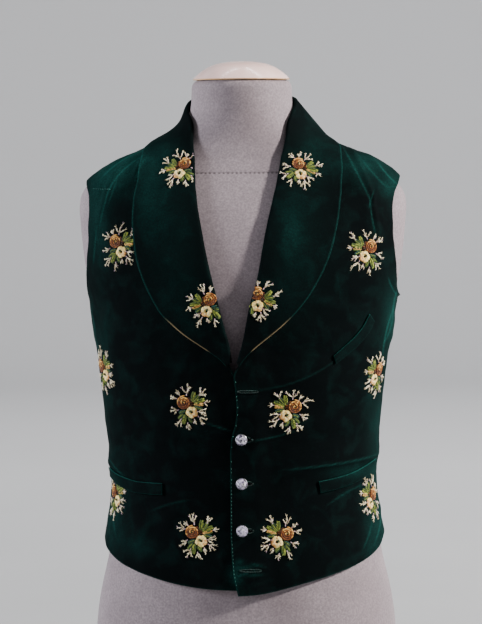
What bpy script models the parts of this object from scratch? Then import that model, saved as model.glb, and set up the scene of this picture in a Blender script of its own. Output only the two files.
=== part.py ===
"""Evening waistcoat of bottle green velvet with a shawl collar, worn by a limbless dress form.

Every table and size below is in millimetres and degrees. +X is the wearer's left, -Y the wearer's front and
+Z up. The origin is the middle of the form's flat base. A place on the body is given as a turn round it
(0 at centre front, 90 at the wearer's left side, 180 at centre back) and a height above the base, or, on the
front, as the distance across from the centre plane and a height.
"""

import math

import bmesh
import bpy
import numpy as np

MM = 0.001


def table(columns, *rows):
    """A table with named columns, as a dictionary of arrays."""
    return dict(zip(columns.split(), np.array(rows, float).T))


# The dress form: sections from the base to the top of the neck, and how square each one is.
FORM = table(
    "height half_width front back square",
    (0, 168, 104, 107, 2.25),
    (6, 172, 106.5, 109.5, 2.25),
    (40, 176.5, 108.5, 114, 2.3),
    (80, 177.5, 109.5, 118, 2.3),
    (118, 173.7, 109, 117, 2.3),
    (142, 169, 108.5, 112, 2.3),
    (165, 163.5, 108, 105, 2.3),
    (200, 157, 107, 97, 2.25),
    (231, 153, 106, 91, 2.2),
    (262, 152, 106.5, 88.5, 2.2),
    (297, 154.5, 108, 90, 2.2),
    (354, 159.5, 112.5, 97, 2.25),
    (410, 166.5, 117.5, 106, 2.3),
    (439, 170.5, 119.5, 110, 2.35),
    (467, 175.5, 120.5, 113.5, 2.35),
    (495, 182, 120, 116, 2.35),
    (519, 186.5, 117.5, 117.5, 2.35),
    (543, 189.5, 112, 118, 2.3),
    (566, 191.5, 104, 117.5, 2.3),
    (584, 192.5, 96, 115.5, 2.25),
    (598, 190, 88.5, 112.5, 2.2),
    (608, 184, 83, 109.5, 2.2),
    (616, 175.5, 78, 106, 2.2),
    (624, 164, 73.5, 102, 2.15),
    (632, 149.5, 69.5, 97, 2.1),
    (640, 133.5, 66, 91.5, 2.1),
    (648, 117.5, 64, 86, 2.05),
    (656, 102.5, 62.5, 80.5, 2),
    (664, 89.5, 61.5, 75, 2),
    (672, 79.5, 61, 70, 2),
    (681, 71.5, 61, 65, 2),
    (691, 65.5, 61.5, 60.5, 2),
    (702, 61.5, 63, 56.5, 2),
    (714, 59.5, 64.5, 53.5, 2),
    (724, 58.5, 65, 52, 2),
    (729, 56, 62.5, 49.5, 2),
    (731, 52.5, 59, 46, 2),
)
FORM_SEGMENTS = 40
NECK_AXIS_FRONT = 6.5  # the neck's own middle lies this far in front of the body's

# The neck cap: a low turned dome that overhangs the neck's rounded top.
CAP_RADIUS = 57.0
CAP_HEIGHT = 22.0
CAP_SEAT = 731.3
CAP_DOME = table(
    "out up",
    (0, 1),
    (0.25, 0.975),
    (0.5, 0.87),
    (0.67, 0.71),
    (0.8, 0.51),
    (0.9, 0.31),
    (0.965, 0.15),
    (1, 0.055),
    (0.99, 0),
    (0, 0),
)
CAP_STEPS = 36

# The cloth: velvet, interlining and lining are one wall, a little clear of the form.
GAP = 1.5
VELVET = 2.2
COLLAR = 2.0
LAY = 1.1  # air between two layers that lie on each other
SEAM_TURN = 0.15  # each panel stops this far short of a seam up the body, which leaves 0.3 to 0.6 between two
NECK_SEAM = 0.8  # air between a panel's neck edge and the collar's stand
COLLAR_SEAM = 0.5  # air between the collar's halves at centre back
CLOTH_OUT = GAP + VELVET

# Turns of the seams, and the waist-to-shoulder layout of the panels.
SIDE_TURN = 97.0
SHOULDER_TURN = 104.0
ARMPIT = 478.0
ARMPIT_SHARE = 0.52  # share of a front's inner edge that lies below the armpit
SHOULDER_TIP = 611.0

# The hem's height round the body, for the wearer's left and right halves.
HEM = table(
    "turn left right",
    (-6, 137, 143),
    (0, 137, 143),
    (10, 140, 144),
    (22, 148.5, 148),
    (37, 159, 157),
    (55, 172, 170),
    (69, 183, 181),
    (82, 194, 191),
    (97, 201, 201),
    (130, 203, 203),
    (180, 200, 200),
)

# The armhole's front edge from the side seam up to the shoulder, and its back edge.
ARMHOLE_FRONT = table(
    "turn height",
    (97, 478),
    (88, 479.5),
    (77, 487),
    (70.5, 502),
    (66.5, 518),
    (63.5, 536),
    (61.8, 554),
    (60.6, 574),
    (62, 592),
    (70, 605),
    (82, 611.5),
    (93, 612.5),
    (104, 611),
)
ARMHOLE_BACK = table(
    "turn height",
    (97, 478),
    (108, 482),
    (117, 495),
    (122, 515),
    (124, 540),
    (123.5, 565),
    (121, 585),
    (116, 600),
    (110, 607.5),
    (104, 611),
)

# The closing edges of the two fronts below the lapels: the left one laps over the right one.
LEFT_EDGE = table(
    "height across",
    (137, -3),
    (144, -5),
    (164, -9),
    (204, -11.4),
    (301, -11),
    (318, -9.7),
    (335, -4.8),
    (352, -2.4),
    (370, -4),
    (394, -5),
)
RIGHT_EDGE = table(
    "height across",
    (143, 11),
    (200, 11),
    (345, 11),
    (370, 4),
    (394, -6),
)
OVERLAP_INNER = 15.0  # the left front lies over the right one up to here,
OVERLAP_OUTER = 40.0  # and is back on the body here
OVERLAP_TOP = 402.0
OVERLAP_FADE = 446.0

# The shawl collar as ribs across it, from the break up to the shoulder. A rib runs from the roll line to the
# outer edge, and the two sides differ a little, as the wearer's right lapel hangs wider.
LAPEL = table(
    "roll roll_left roll_right edge edge_left edge_right stand",
    (408, -1.6, -7.8, 403.5, 0.9, -14.5, 0.8),
    (418, 1.4, -8.9, 411, 6.5, -21.5, 1.0),
    (430, 4.9, -10.9, 418, 13, -31, 1.5),
    (444, 8, -14.9, 427, 23.5, -44.5, 1.5),
    (459, 10.8, -18.6, 438, 37.5, -61, 1.5),
    (475, 14.2, -22.6, 449.5, 51.5, -75, 1.5),
    (492, 19.6, -27, 464, 66.5, -90, 1.5),
    (512, 24.4, -32, 484, 82.5, -101.8, 1.5),
    (533, 28, -36.8, 508, 96.6, -112.5, 1.5),
    (556, 32.2, -41.6, 534, 107.4, -119.5, 1.5),
    (579, 37.3, -46.3, 561, 114, -123, 1.5),
    (602, 42.6, -49.6, 590, 117.8, -122.5, 1.5),
    (624, 46.7, -51.4, 615, 119, -118.5, 2),
    (645, 50.2, -52.8, 636, 117, -116, 6),
    (665, 54, -55, 649, 113, -112, 12),
    (685, 57, -57.2, 654.3, 106.5, -106.2, 18),
)
# The rest of the collar round the neck to centre back.
NECK = table(
    "roll_turn roll_left roll_right edge_turn edge stand",
    (88, 704.5, 697, 90, 657.5, 25),
    (104, 709.5, 703.5, 104, 657, 28),
    (122, 711.5, 708, 121, 659, 30),
    (150, 713, 711.5, 149, 662, 31),
    (180, 713.5, 713.5, 180, 663.5, 32),
)
SHOULDER_RIB = len(LAPEL["roll"]) + 1
BACK_RIB = len(LAPEL["roll"]) + len(NECK["roll_turn"]) - 1
TURN_RIB = len(LAPEL["roll"]) - 1  # from here the roll line turns round the side of the neck
FRONT_STATIONS = np.concatenate([np.arange(TURN_RIB), np.linspace(TURN_RIB, SHOULDER_RIB, 6)])
# The wearer's right half of the collar sinks into the hollow at the neck; the left half bridges it.
COLLAR_HUG = 0.95
HUG = table("rib share", (12, 0), (15, 1), (18, 1), (20, 0))
ROLL = table("rib radius", (0, 1.5), (4, 2.4), (11, 2.4), (15, 1.6), (20, 1.6))
ROLL_STEPS = 6
FALL_STEPS = 6
STAND_STEPS = 3

# The largest folds: soft ridges from one place to another, seen from the front (face 1) or the back (face -1).
FOLDS = table(
    "face across height to_across to_height width rise",
    (1, 34, 281, 108, 292, 13, 2.4),
    (1, 100, 291, 160, 297, 13, 2.8),
    (1, 8, 322, 74, 331, 12, 1.4),
    (1, 24, 378, 104, 400, 13, 1.8),
    (1, 122, 636, 150, 588, 12, 2.0),
    (1, 150, 588, 158, 548, 12, 1.8),
    (1, 184, 474, 166, 418, 13, 2.0),
    (1, 126, 232, 160, 222, 14, 1.8),
    (1, -156, 292, -126, 272, 13, 2.2),
    (1, -100, 366, -14, 338, 13, 1.6),
    (1, -122, 636, -150, 606, 12, 2.0),
    (1, -150, 606, -160, 556, 12, 1.8),
    (1, -182, 470, -166, 424, 13, 1.8),
    (1, -96, 228, -60, 236, 14, 1.4),
    (-1, -120, 292, 60, 268, 15, 2.4),
    (-1, 120, 318, -30, 300, 15, 2.0),
    (-1, -70, 560, -110, 500, 15, 2.0),
    (-1, 70, 560, 112, 496, 15, 2.0),
)
# Places where the cloth stands off the body, as soft swellings.
EASES = table(
    "across height wide tall rise",
    (150, 628, 62, 34, 4.6),
    (-166, 350, 40, 95, 4.0),
    (-156, 215, 40, 60, 2.0),
)
HEM_FLARE = 3.0
HEM_FLARE_DEPTH = 70.0
ARM_EASE = 1.3  # how far the cloth stands off towards the armholes

# Pocket welts, each from its inner to its outer end: the top edge and the bottom edge.
WELT_POCKET_LEFT = table(
    "across_top top across_bottom bottom",
    (90, 267.5, 92, 253.5),
    (107, 270.3, 108.5, 256.5),
    (125, 274.5, 126.5, 261),
    (139, 280.5, 141, 267.5),
    (152, 288, 154, 275.5),
)
WELT_POCKET_RIGHT = table(
    "across_top top across_bottom bottom",
    (-90.5, 266, -90.5, 252),
    (-108, 266, -109, 251.8),
    (-124, 267, -126, 253),
    (-139, 271.5, -141, 258),
    (-152, 279, -154, 266),
)
WELT_BREAST = table(
    "across_top top across_bottom bottom",
    (109.5, 411.5, 111.5, 402.5),
    (119.5, 420, 122, 410),
    (131.5, 430.5, 135, 420),
    (142, 441, 147, 431.5),
    (149.5, 452, 155, 444),
)
WELT_THICK = 1.6
WELT_LIFT = 0.9
WELT_STEPS = 9
WELT_ROWS = 3

# The buttons, with shanks through the left front's buttonholes, and the eye-shaped slits they pull open.
BUTTON_ACROSS = 2.3
BUTTON_HEIGHTS = (318.5, 267, 212)
BUTTON_RADIUS = 7.0
BUTTON_STEPS = 20
SHANK_RADIUS = 1.5
SHANK_CLEAR = 0.45
SHANK_FOOT = -(VELVET + LAY - SHANK_CLEAR)
BUTTON_PROFILE = (
    (0, 5.2),
    (2.4, 5.0),
    (4.6, 4.1),
    (6.2, 2.8),
    (BUTTON_RADIUS, 1.6),
    (6.6, 0.7),
    (SHANK_RADIUS, 0.6),
    (SHANK_RADIUS, SHANK_FOOT),
    (0, SHANK_FOOT),
)
SLIT_OFFSET = 4.0
SLIT_LENGTH = 15.0
SLIT_WIDTH = 3.8
SLIT_DEPTH = 16.0

# How finely the panels are divided.
FRONT_COLUMNS = 15
FRONT_LOW_ROWS = 15
NECK_COLUMNS = 7  # of the collar, from the shoulder seam to centre back
BACK_COLUMNS = 14  # of half the back
BACK_ROWS = table(
    "share rows",
    (0.58, 9),  # side seam
    (0.85, 10),  # armhole
    (1, 8),  # shoulder seam
)
RIB_SAMPLES = 24
PATH_SAMPLES = 8


def through(knots, values, at):
    """A smooth curve through a table's points, read at one place or many."""
    step = np.diff(knots)
    rise = np.diff(values) / step
    slope = np.empty(len(knots))
    slope[1:-1] = (rise[:-1] * step[1:] + rise[1:] * step[:-1]) / (step[:-1] + step[1:])
    slope[0], slope[-1] = rise[0], rise[-1]
    at = np.clip(at, knots[0], knots[-1])
    k = np.clip(np.searchsorted(knots, at, side="right") - 1, 0, len(step) - 1)
    w = (at - knots[k]) / step[k]
    blend = w * w * (3 - 2 * w)
    bow = w * (1 - w) * step[k]
    return values[k] * (1 - blend) + values[k + 1] * blend + bow * (slope[k] * (1 - w) - slope[k + 1] * w)


def ease_in(share):
    """0 below 0, 1 above 1, and smooth between."""
    share = np.clip(share, 0, 1)
    return share * share * (3 - 2 * share)


def section(height):
    """The form's section at a height: half width, front depth, back depth and squareness."""
    return [through(FORM["height"], FORM[name], height) for name in ("half_width", "front", "back", "square")]


def on_form(turn, height):
    """The point of the form's surface at this turn and height."""
    half_width, front, back, square = section(height)
    s, c = np.sin(np.radians(turn)), np.cos(np.radians(turn))
    shrink = (np.abs(s) ** square + np.abs(c) ** square) ** (-1 / square)
    depth = np.where(c > 0, front, back)
    return np.stack([half_width * s * shrink, -depth * c * shrink, height + 0 * s], -1)


def turn_at(across, height):
    """The turn of the front's point that lies this far across at this height."""
    half_width, _, _, square = section(height)
    share = np.clip(np.abs(across) / (half_width + CLOTH_OUT), 0, 0.9995) ** square
    return np.sign(across) * np.degrees(np.arctan((share / (1 - share)) ** (1 / square)))


def turn_of(point):
    """The turn of any point."""
    half_width, front, back, _ = section(point[..., 2])
    depth = np.where(point[..., 1] < 0, front, back)
    return np.degrees(np.arctan2(point[..., 0] / half_width, -point[..., 1] / depth))


def outside(point):
    """How far outside the form's section a point lies, as a share of the section's size."""
    half_width, front, back, square = section(point[..., 2])
    depth = np.where(point[..., 1] < 0, front, back)
    sides = np.abs(point[..., 0] / half_width) ** square + np.abs(point[..., 1] / depth) ** square
    return sides ** (1 / square) - 1


def outward(point):
    """The form's outward direction near a point, and the point's distance from the form."""
    small = 0.5
    slopes = [(outside(point + small * axis) - outside(point - small * axis)) / (2 * small) for axis in np.eye(3)]
    slopes = np.stack(slopes, -1)
    steep = np.linalg.norm(slopes, axis=-1)
    return slopes / steep[..., None], outside(point) / steep


def fold_rise(point):
    """How far the eases and the folds lift the cloth at a point of the form."""
    total = np.zeros(point.shape[:-1])
    across, height = point[..., 0], point[..., 2]
    for k in range(len(EASES["rise"])):
        ease = {name: EASES[name][k] for name in EASES}
        away = ((across - ease["across"]) / ease["wide"]) ** 2 + ((height - ease["height"]) / ease["tall"]) ** 2
        total += ease["rise"] * np.exp(-away)
    for k in range(len(FOLDS["face"])):
        fold = {name: FOLDS[name][k] for name in FOLDS}
        run = fold["to_across"] - fold["across"], fold["to_height"] - fold["height"]
        length = math.hypot(*run)
        share = ((across - fold["across"]) * run[0] + (height - fold["height"]) * run[1]) / length**2
        aside = ((across - fold["across"]) * run[1] - (height - fold["height"]) * run[0]) / length
        ends = ease_in((share + 0.15) / 0.4) * ease_in((1.15 - share) / 0.4)
        facing = ease_in(0.5 - fold["face"] * point[..., 1] / 24)
        total += fold["rise"] * ends * facing * np.exp(-((aside / fold["width"]) ** 2))
    return total


def hem_height(turn, side):
    """The hem's height at a turn; side is 1 for the wearer's left half, -1 for the right and 0 for the back."""
    if side == 0:
        return through(HEM["turn"], HEM["left"], 180 - np.abs(180 - turn))
    return through(HEM["turn"], HEM["left" if side > 0 else "right"], side * turn)


def cloth_rise(turn, height, side):
    """The height of the cloth's inner face above the form."""
    point = on_form(turn, height)
    hem = hem_height(turn, side)
    flare = HEM_FLARE * ease_in((hem + HEM_FLARE_DEPTH - height) / HEM_FLARE_DEPTH)
    arm = ARM_EASE * ease_in((np.abs(point[..., 0]) - 120) / 40) * ease_in((height - 470) / 40)
    rise = GAP + flare + arm + fold_rise(point)
    if side > 0:
        lap = ease_in((OVERLAP_OUTER - point[..., 0]) / (OVERLAP_OUTER - OVERLAP_INNER))
        lap = lap * ease_in((OVERLAP_FADE - height) / (OVERLAP_FADE - OVERLAP_TOP))
        rise = rise + (VELVET + LAY) * lap * (point[..., 1] < 0)
    return rise


def on_cloth(turn, height, side, above=0.0):
    """A point above the cloth's inner face."""
    point = on_form(turn, height)
    normal, _ = outward(point)
    return point + normal * (cloth_rise(turn, height, side) + above)[..., None]


def ribs(side):
    """The collar's ribs for one side, as columns: turns and heights of the roll line and the edge, and the stand."""
    name = "left" if side > 0 else "right"
    roll_turn = turn_at(LAPEL["roll_" + name], LAPEL["roll"])
    edge_turn = turn_at(LAPEL["edge_" + name], LAPEL["edge"])
    return {
        "roll_turn": np.concatenate([roll_turn, side * NECK["roll_turn"]]),
        "roll": np.concatenate([LAPEL["roll"], NECK["roll_" + name]]),
        "edge_turn": np.concatenate([edge_turn, side * NECK["edge_turn"]]),
        "edge": np.concatenate([LAPEL["edge"], NECK["edge"]]),
        "stand": np.concatenate([LAPEL["stand"], NECK["stand"]]),
    }


def rib_at(side, station):
    """One rib of the collar, between the table's ribs where station isn't whole."""
    columns = ribs(side)
    knots = np.arange(len(columns["roll"]), dtype=float)
    return {name: float(through(knots, columns[name], station)) for name in columns}


def along_rib(rib, distance):
    """Turns and heights at distances from the roll line, measured on the form along a rib."""
    share = np.linspace(0, 1, RIB_SAMPLES)
    turns = rib["roll_turn"] + share * (rib["edge_turn"] - rib["roll_turn"])
    heights = rib["roll"] + share * (rib["edge"] - rib["roll"])
    steps = np.linalg.norm(np.diff(on_form(turns, heights), axis=0), axis=1)
    walked = np.concatenate([[0], np.cumsum(steps)])
    return np.interp(distance, walked, turns), np.interp(distance, walked, heights)


def roll_radius(station):
    """The radius of the roll's middle, which is tighter at the break and round the neck."""
    return float(through(ROLL["rib"], ROLL["radius"], station))


def collar_section(side, station):
    """The middle line of the collar's wall at a station: up the stand, over the roll and down the fall."""
    rib = rib_at(side, station)
    radius = roll_radius(station)
    middle = radius + COLLAR / 2
    turns, heights = along_rib(rib, middle + np.linspace(rib["stand"], 0, STAND_STEPS))
    stand = on_cloth(turns, heights, side, COLLAR / 2)
    turns, heights = along_rib(rib, middle + np.array([0, 1.0]))
    feet = on_form(turns, heights)
    normal, _ = outward(feet[0])
    out = feet[1] - feet[0]
    out = out - normal * out.dot(normal)
    out /= np.linalg.norm(out)
    centre = stand[-1] + normal * radius
    angles = np.radians(np.linspace(-90, 90, ROLL_STEPS + 1))[1:, None]
    roll = centre + radius * (-np.cos(angles) * out + np.sin(angles) * normal)
    edge_turn, edge = rib["edge_turn"], rib["edge"]
    end = on_cloth(np.array(edge_turn), np.array(edge), side, VELVET + LAY + COLLAR / 2)
    share = np.linspace(0, 1, FALL_STEPS + 1)[1:]
    fall = roll[-1] + share[:, None] * (end - roll[-1])
    crown = (2 * radius - VELVET - LAY) * (1 - share) ** 2
    hug = 0 if side > 0 else COLLAR_HUG * float(through(HUG["rib"], HUG["share"], station))
    for _ in range(3):
        normals, distance = outward(fall)
        foot = fall - normals * distance[:, None]
        least = cloth_rise(turn_of(foot), foot[:, 2], side) + VELVET + LAY + COLLAR / 2 + crown
        spare = distance - least
        fall = fall - normals * np.where(spare > 0, hug * spare * np.sin(np.pi * share), spare)[:, None]
    return np.concatenate([stand, roll, fall])


def neck_edge(side, stations):
    """The panels' edge below the collar's stand, as turns and heights."""
    found = []
    for station in stations:
        rib = rib_at(side, station)
        inset = roll_radius(station) + COLLAR / 2 + rib["stand"] + NECK_SEAM
        found.append(along_rib(rib, inset))
    return np.array(found)


def reach(turns, heights):
    """How far along a path over the body each of its points lies, as a share of its length."""
    steps = np.linalg.norm(np.diff(on_form(turns, heights), axis=0), axis=1)
    return np.concatenate([[0], np.cumsum(steps)]) / steps.sum()


def resample(turn, height, share):
    """Turns and heights at shares of the length of a path over the body, given by a few points."""
    knots = np.arange(len(turn), dtype=float)
    fine = np.linspace(0, knots[-1], PATH_SAMPLES * len(knots))
    turns, heights = through(knots, turn, fine), through(knots, height, fine)
    along = reach(turns, heights)
    return np.stack([np.interp(share, along, turns), np.interp(share, along, heights)], -1)


def coons(bottom, top, left, right, across, up):
    """A patch of turns and heights between four edges, at shares across and up it."""
    u, v = across[None, :, None], up[:, None, None]
    sides = (1 - u) * left[:, None] + u * right[:, None]
    ends = (1 - v) * bottom[None] + v * top[None]
    corners = (1 - v) * ((1 - u) * bottom[0] + u * bottom[-1]) + v * ((1 - u) * top[0] + u * top[-1])
    return sides + ends - corners


def side_seam(seam_turn, hem, share):
    """Turns and heights up a side seam, at shares of its length."""
    return np.stack([np.full(len(share), seam_turn), hem + (ARMPIT - hem) * share], -1)


def armhole_edge(armhole, seam_turn, share, side=1):
    """Turns and heights round half an armhole, at shares of its length from the side seam up."""
    turns = np.concatenate([[abs(seam_turn)], armhole["turn"][1:]])
    return resample(side * turns, armhole["height"], share)


def front_patch(side):
    """Turns and heights over one front, in rows from the hem to the shoulder seam."""
    edge = LEFT_EDGE if side > 0 else RIGHT_EDGE
    start = float(hem_height(0.0, side))
    heights = np.linspace(start, edge["height"][-1], FRONT_LOW_ROWS)
    low = np.stack([turn_at(np.interp(heights, edge["height"], edge["across"]), heights), heights], -1)
    inner = np.concatenate([low, neck_edge(side, FRONT_STATIONS)])
    up = reach(inner[:, 0], inner[:, 1])
    low = up <= ARMPIT_SHARE
    seam_turn = side * (SIDE_TURN - SEAM_TURN)
    seam = side_seam(seam_turn, float(hem_height(seam_turn, side)), up[low] / ARMPIT_SHARE)
    armhole = armhole_edge(ARMHOLE_FRONT, seam_turn, (up[~low] - ARMPIT_SHARE) / (1 - ARMPIT_SHARE), side)
    outer = np.concatenate([seam, armhole])
    outer[-1] = side * (SHOULDER_TURN - SEAM_TURN), SHOULDER_TIP
    inner[-1, 0] = side * (SHOULDER_TURN - SEAM_TURN)
    across = np.linspace(0, 1, FRONT_COLUMNS + 1)
    hem_turns = inner[0, 0] + across * (outer[0, 0] - inner[0, 0])
    bottom = np.stack([hem_turns, hem_height(hem_turns, side)], -1)
    top = inner[-1] + across[:, None] * (outer[-1] - inner[-1])
    return coons(bottom, top, inner, outer, across, up)


def half_back(side):
    """Turns and heights over half the back, from centre back to one side seam."""
    neck = neck_edge(side, np.linspace(BACK_RIB, SHOULDER_RIB, BACK_COLUMNS + 1)) * (side, 1)
    neck[-1, 0] = SHOULDER_TURN + SEAM_TURN
    starts = np.concatenate([[0], BACK_ROWS["share"][:-1]])
    steps = [np.linspace(0, 1, count + 1)[1:] for count in BACK_ROWS["rows"].astype(int)]
    spans = [start + (stop - start) * step for start, stop, step in zip(starts, BACK_ROWS["share"], steps)]
    up = np.concatenate([[0], *spans])
    seam_turn = SIDE_TURN + SEAM_TURN
    seam = side_seam(seam_turn, float(hem_height(seam_turn, 0)), np.concatenate([[0], steps[0]]))
    armhole = armhole_edge(ARMHOLE_BACK, seam_turn, steps[1])
    armhole[-1, 0] = SHOULDER_TURN + SEAM_TURN
    shoulder = resample(np.full(2, SHOULDER_TURN + SEAM_TURN), np.array([SHOULDER_TIP, neck[-1, 1]]), steps[2])
    outer = np.concatenate([seam, armhole, shoulder])
    start = float(hem_height(180.0, 0))
    inner = np.stack([np.full(len(up), 180.0), start + up * (neck[0, 1] - start)], -1)
    across = np.linspace(0, 1, BACK_COLUMNS + 1)
    hem_turns = 180 + across * (outer[0, 0] - 180)
    bottom = np.stack([hem_turns, hem_height(hem_turns, 0)], -1)
    return coons(bottom, neck, inner, outer, across, up)


def back_patch():
    """Turns and heights over the whole back, from the wearer's right side seam round to the left one."""
    right = half_back(-1)[:, :0:-1] * (-1, 1) + (360, 0)
    return np.concatenate([right, half_back(1)], axis=1)


def material(name, colour, roughness, metallic=0.0):
    """A plain finish for one kind of piece."""
    made = bpy.data.materials.new(name)
    made.use_nodes = True
    shader = made.node_tree.nodes["Principled BSDF"]
    shader.inputs["Base Color"].default_value = (*colour, 1)
    shader.inputs["Roughness"].default_value = roughness
    shader.inputs["Metallic"].default_value = metallic
    made.diffuse_color = (*colour, 1)
    return made


def add_object(name, mesh, finish, collection):
    """A named object for one piece, in the part's collection."""
    mesh.materials.append(finish)
    made = bpy.data.objects.new(name, mesh)
    collection.objects.link(made)
    return made


def grid_mesh(name, points, closed=False):
    """A sheet of quads over rows of points; closed joins each row's ends."""
    rows, columns = points.shape[:2]
    mesh = bpy.data.meshes.new(name)
    sheet = bmesh.new()
    verts = [[sheet.verts.new(p * MM) for p in row] for row in points]
    for i in range(rows - 1):
        for j in range(columns if closed else columns - 1):
            k = (j + 1) % columns
            sheet.faces.new((verts[i][j], verts[i][k], verts[i + 1][k], verts[i + 1][j]))
    if closed:
        sheet.faces.new(verts[0][::-1])
        sheet.faces.new(verts[-1])
    sheet.to_mesh(mesh)
    sheet.free()
    mesh.shade_smooth()
    return mesh


def wall(made, thickness, offset):
    """Gives a sheet its thickness: offset 1 puts it all outside, 0 half on each side."""
    solid = made.modifiers.new("wall", "SOLIDIFY")
    solid.thickness = thickness * MM
    solid.offset = offset
    return made


def make_form(finish, collection):
    """The jersey-covered torso and neck, from stacked sections."""
    heights = FORM["height"][:, None]
    turns = np.linspace(0, 360, FORM_SEGMENTS, endpoint=False)[None, :]
    points = on_form(turns + 0 * heights, heights + 0 * turns)
    form = add_object("dress_form", grid_mesh("dress_form", points, closed=True), finish, collection)
    form.data.set_sharp_from_angle(angle=math.radians(50))
    return form


def turned(name, profile, steps, finish, collection):
    """A turned piece: the profile runs from the axis at the top, out and down, back to the axis."""
    mesh = bpy.data.meshes.new(name)
    mesh.from_pydata([(r * MM, 0, z * MM) for r, z in profile], [(i, i + 1) for i in range(len(profile) - 1)], [])
    made = add_object(name, mesh, finish, collection)
    screw = made.modifiers.new("turn", "SCREW")
    screw.steps = screw.render_steps = steps
    screw.use_merge_vertices = True
    screw.merge_threshold = 0.00005
    return made


def make_cap(finish, collection):
    """The neck's turned cap."""
    profile = [(out * CAP_RADIUS, up * CAP_HEIGHT) for out, up in zip(CAP_DOME["out"], CAP_DOME["up"])]
    cap = turned("neck_cap", profile, CAP_STEPS, finish, collection)
    cap.location = (0, -NECK_AXIS_FRONT * MM, CAP_SEAT * MM)
    return cap


def make_panel(name, patch, side, finish, collection):
    """A cut panel of velvet over a patch of turns and heights; side 0 is the back."""
    turns, heights = patch[..., 0], patch[..., 1]
    if side:
        points = on_cloth(turns, heights, side)
        points = points if side > 0 else points[:, ::-1]
    else:
        points = on_cloth(turns, heights, side)[:, ::-1]
    made = add_object(name, grid_mesh(name, points), finish, collection)
    return wall(made, VELVET, 1)


def make_collar(name, side, finish, collection):
    """One half of the shawl collar, from the break to the seam at centre back."""
    near_back = np.linspace(SHOULDER_RIB, BACK_RIB, NECK_COLUMNS + 1)[1:]
    stations = np.concatenate([FRONT_STATIONS, near_back])
    points = np.array([collar_section(side, station) for station in stations])
    points[-1, :, 0] = side * COLLAR_SEAM / 2
    made = add_object(name, grid_mesh(name, points if side < 0 else points[::-1]), finish, collection)
    return wall(made, COLLAR, 0)


def make_welt(name, rows, finish, collection):
    """A pocket welt that lies on its front, made from the front's own points moved out."""
    share = np.linspace(0, 1, WELT_STEPS)
    knots = np.linspace(0, 1, len(rows["top"]))
    top, bottom = (
        np.stack([through(knots, rows[across], share), through(knots, rows[height], share)], -1)
        for across, height in (("across_top", "top"), ("across_bottom", "bottom"))
    )
    down = np.linspace(0, 1, WELT_ROWS)[:, None, None]
    place = (1 - down) * top[None] + down * bottom[None]
    side = 1 if rows["across_top"][0] > 0 else -1
    turns = turn_at(place[..., 0], place[..., 1])
    points = on_cloth(turns, place[..., 1], side, VELVET + WELT_LIFT)
    made = add_object(name, grid_mesh(name, points[::-1] if side > 0 else points), finish, collection)
    return wall(made, WELT_THICK, 1)


def button_frame(height):
    """The left front's outer surface under a button: a point, and the way out of the cloth."""
    turn = turn_at(np.array(BUTTON_ACROSS), np.array(height))
    point = on_cloth(turn, np.array(height), 1, VELVET)
    normal, _ = outward(point)
    return point, normal


def turn_to(normal):
    """Rotation that points an object's own Z along a normal that faces the front."""
    return (math.atan2(math.hypot(normal[0], normal[1]), normal[2]), 0, math.atan2(normal[0], -normal[1]))


def make_button(name, height, finish, collection):
    """A domed button with its shank."""
    point, normal = button_frame(height)
    made = turned(name, BUTTON_PROFILE, BUTTON_STEPS, finish, collection)
    made.location = point * MM
    made.rotation_euler = turn_to(normal)
    return made


def cut_slit(front, height, number, cutters):
    """Cuts the buttonhole that a shank holds open."""
    point, normal = button_frame(height)
    mesh = bpy.data.meshes.new("slit")
    shape = bmesh.new()
    bmesh.ops.create_cone(shape, cap_ends=True, segments=12, radius1=0.5, radius2=0.5, depth=1)
    bmesh.ops.scale(shape, vec=(SLIT_LENGTH * MM, SLIT_WIDTH * MM, SLIT_DEPTH * MM), verts=shape.verts)
    shape.to_mesh(mesh)
    shape.free()
    cutter = bpy.data.objects.new(f"slit_cutter_{number}", mesh)
    cutter.location = (point + (SLIT_OFFSET, 0, 0)) * MM
    cutter.rotation_euler = turn_to(normal)
    cutter.hide_render = True
    cutter.display_type = "WIRE"
    cutters.objects.link(cutter)
    cut = front.modifiers.new(f"buttonhole_{number}", "BOOLEAN")
    cut.operation = "DIFFERENCE"
    cut.object = cutter


def main():
    for old in list(bpy.data.objects):
        bpy.data.objects.remove(old)
    part = bpy.data.collections.new("evening_waistcoat")
    cutters = bpy.data.collections.new("cutters")
    bpy.context.scene.collection.children.link(part)
    bpy.context.scene.collection.children.link(cutters)
    velvet = material("bottle_green_velvet", (0.008, 0.035, 0.032), 0.85)
    cotton = material("dark_glazed_cotton", (0.012, 0.03, 0.026), 0.5)
    jersey = material("grey_jersey", (0.33, 0.30, 0.31), 0.9)
    lacquer = material("pink_lacquered_wood", (0.72, 0.56, 0.53), 0.25)
    glass = material("violet_cut_glass", (0.55, 0.5, 0.68), 0.1)
    make_form(jersey, part)
    make_cap(lacquer, part)
    left = make_panel("front_left", front_patch(1), 1, velvet, part)
    make_panel("front_right", front_patch(-1), -1, velvet, part)
    make_panel("back", back_patch(), 0, cotton, part)
    make_collar("collar_left", 1, velvet, part)
    make_collar("collar_right", -1, velvet, part)
    make_welt("welt_pocket_left", WELT_POCKET_LEFT, velvet, part)
    make_welt("welt_pocket_right", WELT_POCKET_RIGHT, velvet, part)
    make_welt("welt_breast", WELT_BREAST, velvet, part)
    for number, height in enumerate(BUTTON_HEIGHTS, 1):
        cut_slit(left, height, number, cutters)
        make_button(f"button_{number}", height, glass, part)


main()
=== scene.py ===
"""Looks of the evening waistcoat: silk velvet, embroidered sprigs, glass buttons and the jersey dress form.

Every table and size below is in millimetres and degrees, and becomes metres where a mesh is made. +X is the
wearer's left, -Y the wearer's front and +Z up. A place on the body is given as a turn round it (0 at centre
front, 90 at the wearer's left side, 180 at centre back) and a height above the form's base, or, on the front,
as the distance across from the centre plane and a height.
"""

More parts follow.
